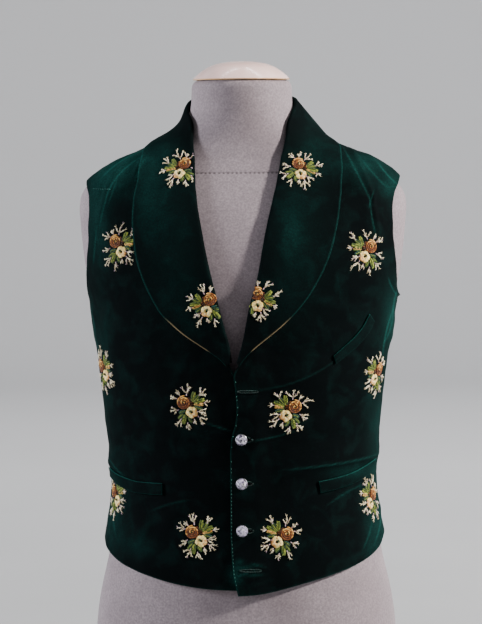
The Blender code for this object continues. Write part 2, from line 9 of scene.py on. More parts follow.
import math

import bpy
import numpy as np
from mathutils import Matrix, Vector
from mathutils.bvhtree import BVHTree


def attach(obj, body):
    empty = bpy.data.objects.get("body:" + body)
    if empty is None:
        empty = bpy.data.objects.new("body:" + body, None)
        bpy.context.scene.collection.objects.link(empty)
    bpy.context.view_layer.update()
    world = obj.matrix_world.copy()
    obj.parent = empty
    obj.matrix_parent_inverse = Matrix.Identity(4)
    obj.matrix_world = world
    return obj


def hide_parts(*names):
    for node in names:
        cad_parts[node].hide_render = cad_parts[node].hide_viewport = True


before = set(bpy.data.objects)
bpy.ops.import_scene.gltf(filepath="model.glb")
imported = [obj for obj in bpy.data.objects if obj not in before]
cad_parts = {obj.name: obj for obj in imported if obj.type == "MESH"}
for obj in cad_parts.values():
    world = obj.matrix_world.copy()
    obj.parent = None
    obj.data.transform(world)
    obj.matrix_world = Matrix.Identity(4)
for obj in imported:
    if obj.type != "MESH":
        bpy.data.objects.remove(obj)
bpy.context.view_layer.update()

MM = 0.001
SEED = 41


def table(columns, *rows):
    """A table with named columns, as a dictionary of arrays."""
    return dict(zip(columns.split(), np.array(rows, float).T))


# The dress form: sections from the base to the top of the neck, and how square each one is.
FORM = table(
    "height half_width front back square",
    (0, 168, 104, 107, 2.25),
    (6, 172, 106.5, 109.5, 2.25),
    (40, 176.5, 108.5, 114, 2.3),
    (80, 177.5, 109.5, 118, 2.3),
    (118, 173.7, 109, 117, 2.3),
    (142, 169, 108.5, 112, 2.3),
    (165, 163.5, 108, 105, 2.3),
    (200, 157, 107, 97, 2.25),
    (231, 153, 106, 91, 2.2),
    (262, 152, 106.5, 88.5, 2.2),
    (297, 154.5, 108, 90, 2.2),
    (354, 159.5, 112.5, 97, 2.25),
    (410, 166.5, 117.5, 106, 2.3),
    (439, 170.5, 119.5, 110, 2.35),
    (467, 175.5, 120.5, 113.5, 2.35),
    (495, 182, 120, 116, 2.35),
    (519, 186.5, 117.5, 117.5, 2.35),
    (543, 189.5, 112, 118, 2.3),
    (566, 191.5, 104, 117.5, 2.3),
    (584, 192.5, 96, 115.5, 2.25),
    (598, 190, 88.5, 112.5, 2.2),
    (608, 184, 83, 109.5, 2.2),
    (616, 175.5, 78, 106, 2.2),
    (624, 164, 73.5, 102, 2.15),
    (632, 149.5, 69.5, 97, 2.1),
    (640, 133.5, 66, 91.5, 2.1),
    (648, 117.5, 64, 86, 2.05),
    (656, 101, 62.5, 80.5, 2),
    (664, 86.5, 61.5, 75, 2),
    (672, 75.5, 61, 70, 2),
    (681, 67.3, 61, 65, 2),
    (691, 62.3, 61.5, 60.5, 2),
    (702, 59.8, 63, 56.5, 2),
    (714, 59, 64.5, 53.5, 2),
    (724, 58.5, 65, 52, 2),
    (729, 56, 62.5, 49.5, 2),
    (731, 52.5, 59, 46, 2),
)
FORM_ROWS = 150
FORM_SEGMENTS = 160
FORM_SEAM = 623.0  # the jersey's seam across the chest, from shoulder to shoulder
FORM_SEAM_DEPTH = 0.5
FORM_SEAM_WIDTH = 1.1
FORM_CORNER = 60.0  # edges sharper than this stay crisp
NECK_AXIS_FRONT = 6.5  # the neck's own middle lies this far in front of the body's
# The chest falls away below the V, behind the lapels.
FORM_HOLLOW = {"across": 0, "height": 398, "wide": 44, "tall": 58, "depth": 15}

# The neck cap: a low turned dome that overhangs the neck's rounded top.
CAP_RADIUS = 57.0
CAP_HEIGHT = 22.0
CAP_SEAT = 731.3
CAP_DOME = table(
    "out up",
    (0, 1),
    (0.25, 0.975),
    (0.5, 0.87),
    (0.67, 0.71),
    (0.8, 0.51),
    (0.9, 0.31),
    (0.965, 0.15),
    (1, 0.055),
)
CAP_UNDERSIDE = ((0.985, 0), (0.9, 0), (0, 0))
CAP_STEPS = 96
CAP_ROWS = 34
CAP_CORNER = 50.0

# The cloth: velvet, interlining and lining are one wall, a little clear of the form.
GAP = 1.5
VELVET = 2.2
COLLAR = 2.0
LAY = 1.1  # air between two layers that lie on each other
SEAM_TURN = 0.15  # each panel stops this far short of a seam up the body
NECK_SEAM = 0.8  # air between a panel's neck edge and the collar's stand
COLLAR_SEAM = 0.5  # air between the collar's halves at centre back
CLOTH_OUT = GAP + VELVET
EDGE_ROUND = 0.85  # how far a turned edge of velvet is rounded
EDGE_STEPS = 3
EDGE_CORNER = 55.0  # edges sharper than this are rounded

# Turns of the seams, and the heights where an armhole starts and ends.
SIDE_TURN = 97.0
SHOULDER_TURN = 104.0
ARMPIT = 478.0
ARMPIT_SHARE = 0.52  # share of a front's inner edge that lies below the armpit
SHOULDER_TIP = 611.0

# The hem's height round the body, for the wearer's left and right halves.
HEM = table(
    "turn left right",
    (-6, 137, 143),
    (0, 137, 143),
    (10, 140, 144),
    (22, 148.5, 148),
    (37, 159, 157),
    (55, 172, 170),
    (69, 183, 181),
    (82, 194, 191),
    (97, 201, 201),
    (130, 203, 203),
    (180, 200, 200),
)

# The armhole's front edge from the side seam up to the shoulder, and its back edge.
ARMHOLE_FRONT = table(
    "turn height",
    (97, 478),
    (88, 479.5),
    (77, 487),
    (70.5, 502),
    (66.5, 518),
    (63.5, 536),
    (61.8, 554),
    (60.6, 574),
    (62, 592),
    (70, 605),
    (82, 611.5),
    (93, 612.5),
    (104, 611),
)
ARMHOLE_BACK = table(
    "turn height",
    (97, 478),
    (108, 482),
    (117, 495),
    (122, 515),
    (124, 540),
    (123.5, 565),
    (121, 585),
    (116, 600),
    (110, 607.5),
    (104, 611),
)

# The closing edges of the two fronts below the lapels: the left one laps over the right one.
LEFT_EDGE = table(
    "height across",
    (137, -3),
    (144, -5),
    (164, -9),
    (204, -11.4),
    (301, -11),
    (318, -9.7),
    (335, -4.8),
    (352, -2.4),
    (370, -4),
    (394, -5),
)
RIGHT_EDGE = table(
    "height across",
    (143, 11),
    (200, 11),
    (345, 11),
    (370, 4),
    (394, -6),
)
OVERLAP_INNER = 15.0  # the left front lies over the right one up to here,
OVERLAP_OUTER = 40.0  # and is back on the body here
OVERLAP_TOP = 402.0
OVERLAP_FADE = 446.0

# The shawl collar as ribs across it, from the break up to the shoulder. A rib runs from the roll line to the
# outer edge, and the two sides differ a little, as the wearer's right lapel hangs wider.
LAPEL = table(
    "roll roll_left roll_right edge edge_left edge_right stand",
    (408, -1.6, -7.8, 403.5, 0.9, -14.5, 0.8),
    (418, 1.4, -8.9, 411, 6.5, -21.5, 1.0),
    (430, 4.9, -10.9, 418, 13, -31, 1.5),
    (444, 8, -14.9, 427, 23.5, -44.5, 1.5),
    (459, 10.8, -18.6, 438, 37.5, -61, 1.5),
    (475, 14.2, -22.6, 449.5, 51.5, -75, 1.5),
    (492, 19.6, -27, 464, 66.5, -90, 1.5),
    (512, 24.4, -32, 484, 82.5, -101.8, 1.5),
    (533, 28, -36.8, 508, 96.6, -112.5, 1.5),
    (556, 32.2, -41.6, 534, 107.4, -119.5, 1.5),
    (579, 37.3, -46.3, 561, 114, -123, 1.5),
    (602, 42.6, -49.6, 590, 117.8, -122.5, 1.5),
    (624, 46.7, -51.4, 615, 119, -118.5, 2),
    (645, 50.2, -52.8, 636, 117, -116, 6),
    (665, 54, -55, 649, 113, -112, 12),
    (685, 57, -57.2, 654.3, 106.5, -106.2, 18),
)
# The rest of the collar round the neck to centre back.
NECK = table(
    "roll_turn roll_left roll_right edge_turn edge stand",
    (88, 705.5, 700, 90, 657.5, 25),
    (104, 710.5, 707.5, 104, 657, 28),
    (122, 712.5, 711, 121, 659, 30),
    (150, 713.3, 712.5, 149, 662, 31),
    (180, 713.5, 713.5, 180, 663.5, 32),
)
SHOULDER_RIB = len(LAPEL["roll"]) + 1
BACK_RIB = len(LAPEL["roll"]) + len(NECK["roll_turn"]) - 1
TURN_RIB = len(LAPEL["roll"]) - 1  # from here the roll line turns round the side of the neck
FRONT_STATIONS = np.concatenate([np.arange(TURN_RIB), np.linspace(TURN_RIB, SHOULDER_RIB, 6)])
# The wearer's right half of the collar sinks into the hollow at the neck; the left half bridges it.
COLLAR_HUG = 0.95
HUG = table("rib share", (12, 0), (15, 1), (18, 1), (20, 0))
ROLL = table("rib radius", (0, 1.5), (4, 2.4), (11, 2.4), (15, 1.6), (20, 1.6))
ROLL_STEPS = 10
FALL_STEPS = 30
STAND_STEPS = 5
FALL_PASSES = 3  # how often the fall is laid against the cloth below it
COLLAR_STATIONS = 190

# The largest folds: soft ridges from one place to another, on the front (face 1) or the back (face -1).
FOLDS = table(
    "face across height to_across to_height width rise",
    (1, 34, 281, 108, 292, 13, 2.4),
    (1, 100, 291, 160, 297, 13, 2.8),
    (1, 8, 322, 74, 331, 12, 1.4),
    (1, 24, 378, 104, 400, 13, 1.8),
    (1, 122, 636, 150, 588, 12, 2.0),
    (1, 150, 588, 158, 548, 12, 1.8),
    (1, 184, 474, 166, 418, 13, 2.0),
    (1, 126, 232, 160, 222, 14, 1.8),
    (1, -156, 292, -126, 272, 13, 2.2),
    (1, -100, 366, -14, 338, 13, 1.6),
    (1, -122, 636, -150, 606, 12, 2.0),
    (1, -150, 606, -160, 556, 12, 1.8),
    (1, -182, 470, -166, 424, 13, 1.8),
    (1, -96, 228, -60, 236, 14, 1.4),
    (-1, -120, 292, 60, 268, 15, 2.4),
    (-1, 120, 318, -30, 300, 15, 2.0),
    (-1, -70, 560, -110, 500, 15, 2.0),
    (-1, 70, 560, 112, 496, 15, 2.0),
)
# The sharp creases on top of the folds, each with a bow to one side. A painted highlight runs along their
# ridges.
CREASES = table(
    "face across height to_across to_height width rise bow",
    (1, 54, 283, 162, 293, 3.6, 0.8, 1),
    (1, -2, 375, 112, 409, 3.4, 0.4, 10),
    (1, 121, 650, 152, 590, 3.0, 1.0, -1),
    (1, 151, 594, 158, 550, 3.0, 0.9, 1),
    (1, 156, 602, 150, 582, 2.8, 0.7, 0),
    (1, 160, 634, 184, 607, 3.2, 0.9, 1),
    (1, 140, 640, 172, 604, 3.6, 0.7, 1),
    (1, 182, 484, 177, 458, 3.0, 1.0, 1),
    (1, 177, 461, 165, 410, 3.2, 1.1, 2),
    (1, 177, 464, 167, 424, 3.0, 0.9, -3),
    (1, 172, 500, 182, 478, 3.0, 0.8, 1),
    (1, 153, 190, 161, 224, 3.2, 0.8, 2),
    (1, 140, 186, 150, 214, 3.4, 0.6, 1),
    (1, 10, 316, 62, 327, 3.2, 0.6, 1),
    (1, 20, 166, -2, 160, 3.0, 0.7, 1),
    (1, 12, 176, 30, 170, 3.0, 0.5, 0),
    (1, 100, 240, 150, 262, 4.0, 0.5, -3),
    (1, -162, 620, -112, 652, 3.4, 1.1, -4),
    (1, -155, 600, -116, 643, 3.4, 1.1, -5),
    (1, -122, 616, -107, 643, 3.2, 0.8, -2),
    (1, -150, 608, -161, 566, 3.6, 0.8, 1),
    (1, -143, 614, -152, 588, 3.2, 0.7, 0),
    (1, -166, 560, -170, 520, 3.6, 0.7, 0),
    (1, -159, 289, -138, 271, 3.2, 0.8, 1),
    (1, -37, 337, -9, 328, 3.2, 0.7, 0),
    (1, -182, 478, -172, 436, 3.2, 0.9, -2),
    (1, -176, 452, -164, 408, 3.4, 0.7, 2),
    (1, -150, 200, -156, 236, 3.4, 0.6, -1),
    (1, -60, 246, -104, 232, 4.0, 0.4, 2),
    (-1, -128, 296, 10, 272, 4.0, 0.8, -3),
    (-1, 128, 322, -14, 300, 4.0, 0.8, 3),
    (-1, -118, 338, -30, 322, 4.0, 0.6, 2),
    (-1, -72, 566, -116, 498, 4.0, 0.8, 3),
    (-1, 72, 566, 118, 494, 4.0, 0.8, -3),
    (-1, 104, 250, 20, 238, 4.0, 0.6, 2),
    (-1, -40, 622, -96, 590, 4.0, 0.6, 2),
    (-1, 44, 620, 98, 588, 4.0, 0.6, -2),
)
# Places where the cloth stands off the body, as soft swellings.
EASES = table(
    "across height wide tall rise",
    (150, 628, 62, 34, 4.6),
    (-166, 350, 40, 95, 4.0),
    (-156, 215, 40, 60, 2.0),
)
FOLD_START = 0.15  # a fold starts and ends this share of its length beyond its places,
FOLD_FADE = 0.4  # and fades in and out over this share
FACE_FADE = 24.0  # how much depth it takes a fold to fade out round the sides
CREASE_DIP = 0.8  # how far a crease's feet dip below the cloth
# Where a crease's painted highlight lies beside its ridge, and how sharply it fades
LIT_SIDE, LIT_SHARPNESS = 0.2, 14  # a crease is lit to one side of its ridge, and how sharply
# Slow waves in the cloth, each with its length along the body, which way it runs and its rise.
WAVES = table(
    "length slope rise",
    (61, 12, 0.22),
    (47, 74, 0.2),
    (38, -38, 0.16),
    (29, 55, 0.11),
    (23, -70, 0.09),
    (17, 20, 0.06),
)
WAVE_SHIFT = 1.7  # how far each wave starts after the one before it
WAVE_WANDER, WANDER_RATE = 1.3, 0.37  # how far a wave's crests wander, and how often
HEM_FLARE = 3.0
HEM_FLARE_DEPTH = 70.0
# How far the cloth stands off towards the armholes, from where, and over what distance that comes in.
ARM_EASE = {"rise": 1.3, "across": 120, "height": 470, "fade": 40}

# Pocket welts, each from its inner to its outer end: the top edge and the bottom edge.
WELT_POCKET_LEFT = table(
    "across_top top across_bottom bottom",
    (90, 267.5, 92, 253.5),
    (107, 270.3, 108.5, 256.5),
    (125, 274.5, 126.5, 261),
    (139, 280.5, 141, 267.5),
    (152, 288, 154, 275.5),
)
WELT_POCKET_RIGHT = table(
    "across_top top across_bottom bottom",
    (-90.5, 266, -90.5, 252),
    (-108, 266, -109, 251.8),
    (-124, 267, -126, 253),
    (-139, 271.5, -141, 258),
    (-152, 279, -154, 266),
)
WELT_BREAST = table(
    "across_top top across_bottom bottom",
    (108, 413.5, 110.5, 404),
    (119.5, 423.5, 122.5, 413),
    (131.5, 434.5, 136, 424.5),
    (142, 447, 147.5, 438),
    (149, 460.5, 154.5, 451),
)
WELT_THICK = 1.6
WELT_LIFT = 0.9
WELT_STEPS = 60
WELT_ROWS = 14
WELT_CROWN = 0.35  # how far a welt's middle swells above its edges

# The buttons, with shanks through the left front's buttonholes, and the eye-shaped slits they pull open.
BUTTON_ACROSS = 2.3
BUTTON_HEIGHTS = (318.5, 267, 212)
SHANK_RADIUS = 1.5
SHANK_FOOT = -2.85  # 0.45 above the right front
SLIT_OFFSET = 4.0
SLIT_LENGTH = 15.0
SLIT_WIDTH = 3.8
SLIT_SPREAD = 5  # rows of the cloth over which an open slit's lips fade out

# How finely the cloth is divided.
FRONT_COLUMNS = 15
FRONT_LOW_ROWS = 15
BACK_COLUMNS = 14
BACK_ROWS = table("share rows", (0.58, 9), (0.85, 10), (1, 8))
FRONT_FINE = (330, 118)
BACK_FINE = (150, 150)
RIB_SAMPLES = 24
PATH_SAMPLES = 8
SIDE_LIMIT = 0.9995  # a front's place across is never nearer its very side than this

# Soft patches where the velvet's colour is painted from near black to teal: painted sheen where the cloth
# catches the light, partly where its pile lies brushed flat.
BRUSHED_AND_SHEEN_PATCHES = table(
    "face across height wide tall light",
    (1, -150, 626, 26, 26, 0.55),
    (1, -126, 640, 22, 14, 0.45),
    (1, -166, 575, 14, 48, 0.4),
    (1, -104, 596, 14, 30, 0.3),
    (1, -88, 640, 20, 24, 0.25),
    (1, 150, 632, 34, 16, 0.4),
    (1, 176, 606, 12, 14, 0.45),
    (1, 84, 640, 18, 30, 0.2),
    (1, 62, 560, 12, 40, 0.2),
    (1, 176, 448, 12, 46, 0.4),
    (1, 160, 330, 14, 60, 0.22),
    (1, 158, 222, 14, 50, 0.4),
    (1, 128, 276, 26, 8, 0.3),
    (1, -164, 400, 12, 70, 0.2),
    (1, -154, 232, 14, 44, 0.35),
    (1, -120, 190, 20, 12, 0.2),
    (1, -6, 160, 8, 14, 0.4),
    (1, 4, 170, 9, 2.2, 0.45),
    (1, 14, 162, 10, 2.0, 0.4),
    (1, -1, 177, 5, 3, 0.35),
    (1, 16, 173, 8, 1.6, 0.3),
    (1, -82, 560, 34, 70, 0.13),
    (1, -60, 480, 26, 40, 0.1),
    (1, 72, 545, 34, 70, 0.1),
    (1, 52, 478, 20, 34, 0.08),
)


def through(knots, values, at):
    """A smooth curve through a table's points, read at any places. The values may have axes of their own."""
    values = np.asarray(values, float)
    flat = values.reshape(len(knots), -1)
    at = np.asarray(at, float)
    step = np.diff(knots)
    rise = np.diff(flat, axis=0) / step[:, None]
    slope = np.empty_like(flat)
    weights = step[:-1, None] + step[1:, None]
    slope[1:-1] = (rise[:-1] * step[1:, None] + rise[1:] * step[:-1, None]) / weights
    slope[0], slope[-1] = rise[0], rise[-1]
    place = np.clip(at, knots[0], knots[-1]).ravel()
    k = np.clip(np.searchsorted(knots, place, side="right") - 1, 0, len(step) - 1)
    w = ((place - knots[k]) / step[k])[:, None]
    blend = w * w * (3 - 2 * w)
    bow = w * (1 - w) * step[k][:, None]
    found = flat[k] * (1 - blend) + flat[k + 1] * blend + bow * (slope[k] * (1 - w) - slope[k + 1] * w)
    return found.reshape(at.shape + values.shape[1:])


def ease_in(share):
    """0 below 0, 1 above 1, and smooth between."""
    share = np.clip(share, 0, 1)
    return share * share * (3 - 2 * share)


def unit(vectors):
    """Vectors made one long."""
    return vectors / np.linalg.norm(vectors, axis=-1, keepdims=True)


def rows_of(columns):
    """A table's rows, each as a dictionary."""
    names = list(columns)
    return [dict(zip(names, row)) for row in zip(*(columns[name] for name in names))]


def section(height):
    """The form's section at a height: half width, front depth, back depth and squareness."""
    return [through(FORM["height"], FORM[name], height) for name in ("half_width", "front", "back", "square")]


def on_form(turn, height):
    """The point of the form's surface at this turn and height."""
    half_width, front, back, square = section(height)
    s, c = np.sin(np.radians(turn)), np.cos(np.radians(turn))
    shrink = (np.abs(s) ** square + np.abs(c) ** square) ** (-1 / square)
    depth = np.where(c > 0, front, back)
    return np.stack([half_width * s * shrink, -depth * c * shrink, height + 0 * s], -1)


def turn_at(across, height):
    """The turn of the front's point that lies this far across at this height."""
    half_width, _, _, square = section(height)
    share = np.clip(np.abs(across) / (half_width + CLOTH_OUT), 0, SIDE_LIMIT) ** square
    return np.sign(across) * np.degrees(np.arctan((share / (1 - share)) ** (1 / square)))


def turn_of(point):
    """The turn of any point."""
    half_width, front, back, _ = section(point[..., 2])
    depth = np.where(point[..., 1] < 0, front, back)
    return np.degrees(np.arctan2(point[..., 0] / half_width, -point[..., 1] / depth))


def outside(point):
    """How far outside the form's section a point lies, as a share of the section's size."""
    half_width, front, back, square = section(point[..., 2])
    depth = np.where(point[..., 1] < 0, front, back)
    sides = np.abs(point[..., 0] / half_width) ** square + np.abs(point[..., 1] / depth) ** square
    return sides ** (1 / square) - 1


def outward(point):
    """The form's outward direction near a point, and the point's distance from the form."""
    small = 0.5
    steps = small * np.eye(3)
    slopes = [(outside(point + step) - outside(point - step)) / (2 * small) for step in steps]
    slopes = np.stack(slopes, -1)
    steep = np.linalg.norm(slopes, axis=-1)
    return slopes / steep[..., None], outside(point) / steep


def patch_share(point, patch):
    """1 in the middle of a soft oval patch, fading out round it."""
    away = ((point[..., 0] - patch["across"]) / patch["wide"]) ** 2
    away += ((point[..., 2] - patch["height"]) / patch["tall"]) ** 2
    return np.exp(-away)


def on_face(point, face):
    """1 on the front (face 1) or the back (face -1), fading out round the sides."""
    return ease_in(0.5 - face * point[..., 1] / FACE_FADE)


def ridge(point, fold, bow=0.0):
    """One fold's height over the cloth, from 0 to 1, and how far aside each point lies, in fold widths."""
    across, height = point[..., 0], point[..., 2]
    run = fold["to_across"] - fold["across"], fold["to_height"] - fold["height"]
    length = math.hypot(*run)
    share = ((across - fold["across"]) * run[0] + (height - fold["height"]) * run[1]) / length**2
    aside = ((across - fold["across"]) * run[1] - (height - fold["height"]) * run[0]) / length
    aside = (aside - 4 * bow * share * (1 - share)) / fold["width"]
    ends = ease_in((share + FOLD_START) / FOLD_FADE) * ease_in((1 + FOLD_START - share) / FOLD_FADE)
    return ends * on_face(point, fold["face"]) * np.exp(-(aside**2)), aside


def crease_light(point):
    """How strong the painted highlight along the creases' ridges is, from 0 to about 1."""
    total = np.zeros(point.shape[:-1])
    for crease in rows_of(CREASES):
        height, aside = ridge(point, crease, crease["bow"])
        total += crease["rise"] * height * np.exp(-LIT_SHARPNESS * (aside - LIT_SIDE) ** 2)
    return total


def fold_rise(point):
    """How far the eases, the folds, the creases and the slow waves lift the cloth at a point of the form."""
    total = np.zeros(point.shape[:-1])
    for ease in rows_of(EASES):
        total += ease["rise"] * patch_share(point, ease)
    for fold in rows_of(FOLDS):
        total += fold["rise"] * ridge(point, fold)[0]
    for crease in rows_of(CREASES):
        lift, aside = ridge(point, crease, crease["bow"])
        total += crease["rise"] * lift * (1 - CREASE_DIP * aside**2)
    along, height = point[..., 0] - point[..., 1], point[..., 2]
    for number, wave in enumerate(rows_of(WAVES)):
        lean = math.radians(wave["slope"])
        phase = (along * math.cos(lean) + height * math.sin(lean)) * 2 * math.pi / wave["length"]
        wander = WAVE_WANDER * np.sin(phase * WANDER_RATE + number)
        total += wave["rise"] * np.sin(phase + WAVE_SHIFT * number + wander)
    return total


def hem_height(turn, side):
    """The hem's height at a turn; side is 1 for the wearer's left front, -1 for the right, 0 for the back."""
    if side == 0:
        return through(HEM["turn"], HEM["left"], 180 - np.abs(180 - turn))
    return through(HEM["turn"], HEM["left" if side > 0 else "right"], side * turn)


def cloth_rise(turn, height, side):
    """The height of the cloth's inner face above the form."""
    point = on_form(turn, height)
    hem = hem_height(turn, side)
    flare = HEM_FLARE * ease_in((hem + HEM_FLARE_DEPTH - height) / HEM_FLARE_DEPTH)
    arm = ARM_EASE["rise"] * ease_in((np.abs(point[..., 0]) - ARM_EASE["across"]) / ARM_EASE["fade"])
    arm = arm * ease_in((height - ARM_EASE["height"]) / ARM_EASE["fade"])
    rise = GAP + flare + arm + fold_rise(point)
    if side > 0:
        lap = ease_in((OVERLAP_OUTER - point[..., 0]) / (OVERLAP_OUTER - OVERLAP_INNER))
        lap = lap * ease_in((OVERLAP_FADE - height) / (OVERLAP_FADE - OVERLAP_TOP))
        rise = rise + (VELVET + LAY) * lap * (point[..., 1] < 0)
    return rise


def on_cloth(turn, height, side, above=0.0):
    """A point above the cloth's inner face."""
    point = on_form(turn, height)
    normal, _ = outward(point)
    return point + normal * (cloth_rise(turn, height, side) + above)[..., None]


def ribs(side):
    """One side's ribs of the collar: turns and heights of the roll line and the edge, and the stand."""
    name = "left" if side > 0 else "right"
    roll_turn = turn_at(LAPEL["roll_" + name], LAPEL["roll"])
    edge_turn = turn_at(LAPEL["edge_" + name], LAPEL["edge"])
    return {
        "roll_turn": np.concatenate([roll_turn, side * NECK["roll_turn"]]),
        "roll": np.concatenate([LAPEL["roll"], NECK["roll_" + name]]),
        "edge_turn": np.concatenate([edge_turn, side * NECK["edge_turn"]]),
        "edge": np.concatenate([LAPEL["edge"], NECK["edge"]]),
        "stand": np.concatenate([LAPEL["stand"], NECK["stand"]]),
    }


def rib_at(side, station):
    """One rib of the collar, between the table's ribs where station isn't whole."""
    columns = ribs(side)
    knots = np.arange(len(columns["roll"]), dtype=float)
    return {name: float(through(knots, columns[name], station)) for name in columns}


def along_rib(rib, distance):
    """Turns and heights at distances from the roll line, measured on the form along a rib."""
    share = np.linspace(0, 1, RIB_SAMPLES)
    turns = rib["roll_turn"] + share * (rib["edge_turn"] - rib["roll_turn"])
    heights = rib["roll"] + share * (rib["edge"] - rib["roll"])
    steps = np.linalg.norm(np.diff(on_form(turns, heights), axis=0), axis=1)
    walked = np.concatenate([[0], np.cumsum(steps)])
    return np.interp(distance, walked, turns), np.interp(distance, walked, heights)


def roll_radius(station):
    """The radius of the roll's middle, which is tighter at the break and round the neck."""
    return float(through(ROLL["rib"], ROLL["radius"], station))


def collar_section(side, station):
    """The middle line of the collar's wall at a station: up the stand, over the roll and down the fall."""
    rib = rib_at(side, station)
    radius = roll_radius(station)
    middle = radius + COLLAR / 2
    turns, heights = along_rib(rib, middle + np.linspace(rib["stand"], 0, STAND_STEPS))
    stand = on_cloth(turns, heights, side, COLLAR / 2)
    turns, heights = along_rib(rib, middle + np.array([0, 1.0]))
    feet = on_form(turns, heights)
    normal, _ = outward(feet[0])
    out = feet[1] - feet[0]
    out = unit(out - normal * out.dot(normal))
    centre = stand[-1] + normal * radius
    angles = np.radians(np.linspace(-90, 90, ROLL_STEPS + 1))[1:, None]
    roll = centre + radius * (-np.cos(angles) * out + np.sin(angles) * normal)
    edge_turn, edge = rib["edge_turn"], rib["edge"]
    end = on_cloth(np.array(edge_turn), np.array(edge), side, VELVET + LAY + COLLAR / 2)
    share = np.linspace(0, 1, FALL_STEPS + 1)[1:]
    fall = roll[-1] + share[:, None] * (end - roll[-1])
    crown = (2 * radius - VELVET - LAY) * (1 - share) ** 2
    hug = 0 if side > 0 else COLLAR_HUG * float(through(HUG["rib"], HUG["share"], station))
    for _ in range(FALL_PASSES):
        normals, distance = outward(fall)
        foot = fall - normals * distance[:, None]
        least = cloth_rise(turn_of(foot), foot[:, 2], side) + VELVET + LAY + COLLAR / 2 + crown
        spare = distance - least
        fall = fall - normals * np.where(spare > 0, hug * spare * np.sin(np.pi * share), spare)[:, None]
    return np.concatenate([stand, roll, fall])


def neck_edge(side, stations):
    """The panels' edge below the collar's stand, as turns and heights."""
    found = []
    for station in stations:
        rib = rib_at(side, station)
        inset = roll_radius(station) + COLLAR / 2 + rib["stand"] + NECK_SEAM
        found.append(along_rib(rib, inset))
    return np.array(found)


def reach(turns, heights):
    """How far along a path over the body each of its points lies, as a share of its length."""
    steps = np.linalg.norm(np.diff(on_form(turns, heights), axis=0), axis=1)
    return np.concatenate([[0], np.cumsum(steps)]) / steps.sum()


def resample(turn, height, share):
    """Turns and heights at shares of the length of a path over the body, given by a few points."""
    knots = np.arange(len(turn), dtype=float)
    fine = np.linspace(0, knots[-1], PATH_SAMPLES * len(knots))
    turns, heights = through(knots, turn, fine), through(knots, height, fine)
    along = reach(turns, heights)
    return np.stack([np.interp(share, along, turns), np.interp(share, along, heights)], -1)


def coons(bottom, top, left, right, across, up):
    """A patch of turns and heights between four edges, at shares across and up it."""
    u, v = across[None, :, None], up[:, None, None]
    sides = (1 - u) * left[:, None] + u * right[:, None]
    ends = (1 - v) * bottom[None] + v * top[None]
    corners = (1 - v) * ((1 - u) * bottom[0] + u * bottom[-1]) + v * ((1 - u) * top[0] + u * top[-1])
    return sides + ends - corners


def side_seam(seam_turn, hem, share):
    """Turns and heights up a side seam, at shares of its length."""
    return np.stack([np.full(len(share), seam_turn), hem + (ARMPIT - hem) * share], -1)


def armhole_edge(armhole, seam_turn, share, side=1):
    """Turns and heights round half an armhole, at shares of its length from the side seam up."""
    turns = np.concatenate([[abs(seam_turn)], armhole["turn"][1:]])
    return resample(side * turns, armhole["height"], share)


def refine(patch, up, across, rows, columns):
    """A patch drawn more finely, with its rows and columns evenly spaced."""
    tall = through(up, patch, np.linspace(0, 1, rows))
    return through(across, tall.swapaxes(0, 1), np.linspace(across[0], across[-1], columns)).swapaxes(0, 1)


def front_patch(side):
    """Turns and heights over one front, in rows from the hem to the shoulder seam."""
    edge = LEFT_EDGE if side > 0 else RIGHT_EDGE
    start = float(hem_height(0.0, side))
    heights = np.linspace(start, edge["height"][-1], FRONT_LOW_ROWS)
    low = np.stack([turn_at(np.interp(heights, edge["height"], edge["across"]), heights), heights], -1)
    inner = np.concatenate([low, neck_edge(side, FRONT_STATIONS)])
    up = reach(inner[:, 0], inner[:, 1])
    low = up <= ARMPIT_SHARE
    seam_turn = side * (SIDE_TURN - SEAM_TURN)
    seam = side_seam(seam_turn, float(hem_height(seam_turn, side)), up[low] / ARMPIT_SHARE)
    armhole = armhole_edge(ARMHOLE_FRONT, seam_turn, (up[~low] - ARMPIT_SHARE) / (1 - ARMPIT_SHARE), side)
    outer = np.concatenate([seam, armhole])
    outer[-1] = side * (SHOULDER_TURN - SEAM_TURN), SHOULDER_TIP
    inner[-1, 0] = side * (SHOULDER_TURN - SEAM_TURN)
    across = np.linspace(0, 1, FRONT_COLUMNS + 1)
    hem_turns = inner[0, 0] + across * (outer[0, 0] - inner[0, 0])
    bottom = np.stack([hem_turns, hem_height(hem_turns, side)], -1)
    top = inner[-1] + across[:, None] * (outer[-1] - inner[-1])
    return refine(coons(bottom, top, inner, outer, across, up), up, across, *FRONT_FINE)


def half_back(side):
    """Turns and heights over half the back, from centre back to one side seam, and their shares up it."""
    shoulder_turn = SHOULDER_TURN + SEAM_TURN
    neck = neck_edge(side, np.linspace(BACK_RIB, SHOULDER_RIB, BACK_COLUMNS + 1)) * (side, 1)
    neck[-1, 0] = shoulder_turn
    starts = np.concatenate([[0], BACK_ROWS["share"][:-1]])
    steps = [np.linspace(0, 1, count + 1)[1:] for count in BACK_ROWS["rows"].astype(int)]
    spans = [start + (stop - start) * step for start, stop, step in zip(starts, BACK_ROWS["share"], steps)]
    up = np.concatenate([[0], *spans])
    seam_turn = SIDE_TURN + SEAM_TURN
    seam = side_seam(seam_turn, float(hem_height(seam_turn, 0)), np.concatenate([[0], steps[0]]))
    armhole = armhole_edge(ARMHOLE_BACK, seam_turn, steps[1])
    armhole[-1, 0] = shoulder_turn
    shoulder = resample(np.full(2, shoulder_turn), np.array([SHOULDER_TIP, neck[-1, 1]]), steps[2])
    outer = np.concatenate([seam, armhole, shoulder])
    start = float(hem_height(180.0, 0))
    inner = np.stack([np.full(len(up), 180.0), start + up * (neck[0, 1] - start)], -1)
    across = np.linspace(0, 1, BACK_COLUMNS + 1)
    hem_turns = 180 + across * (outer[0, 0] - 180)
    bottom = np.stack([hem_turns, hem_height(hem_turns, 0)], -1)
    return coons(bottom, neck, inner, outer, across, up), up


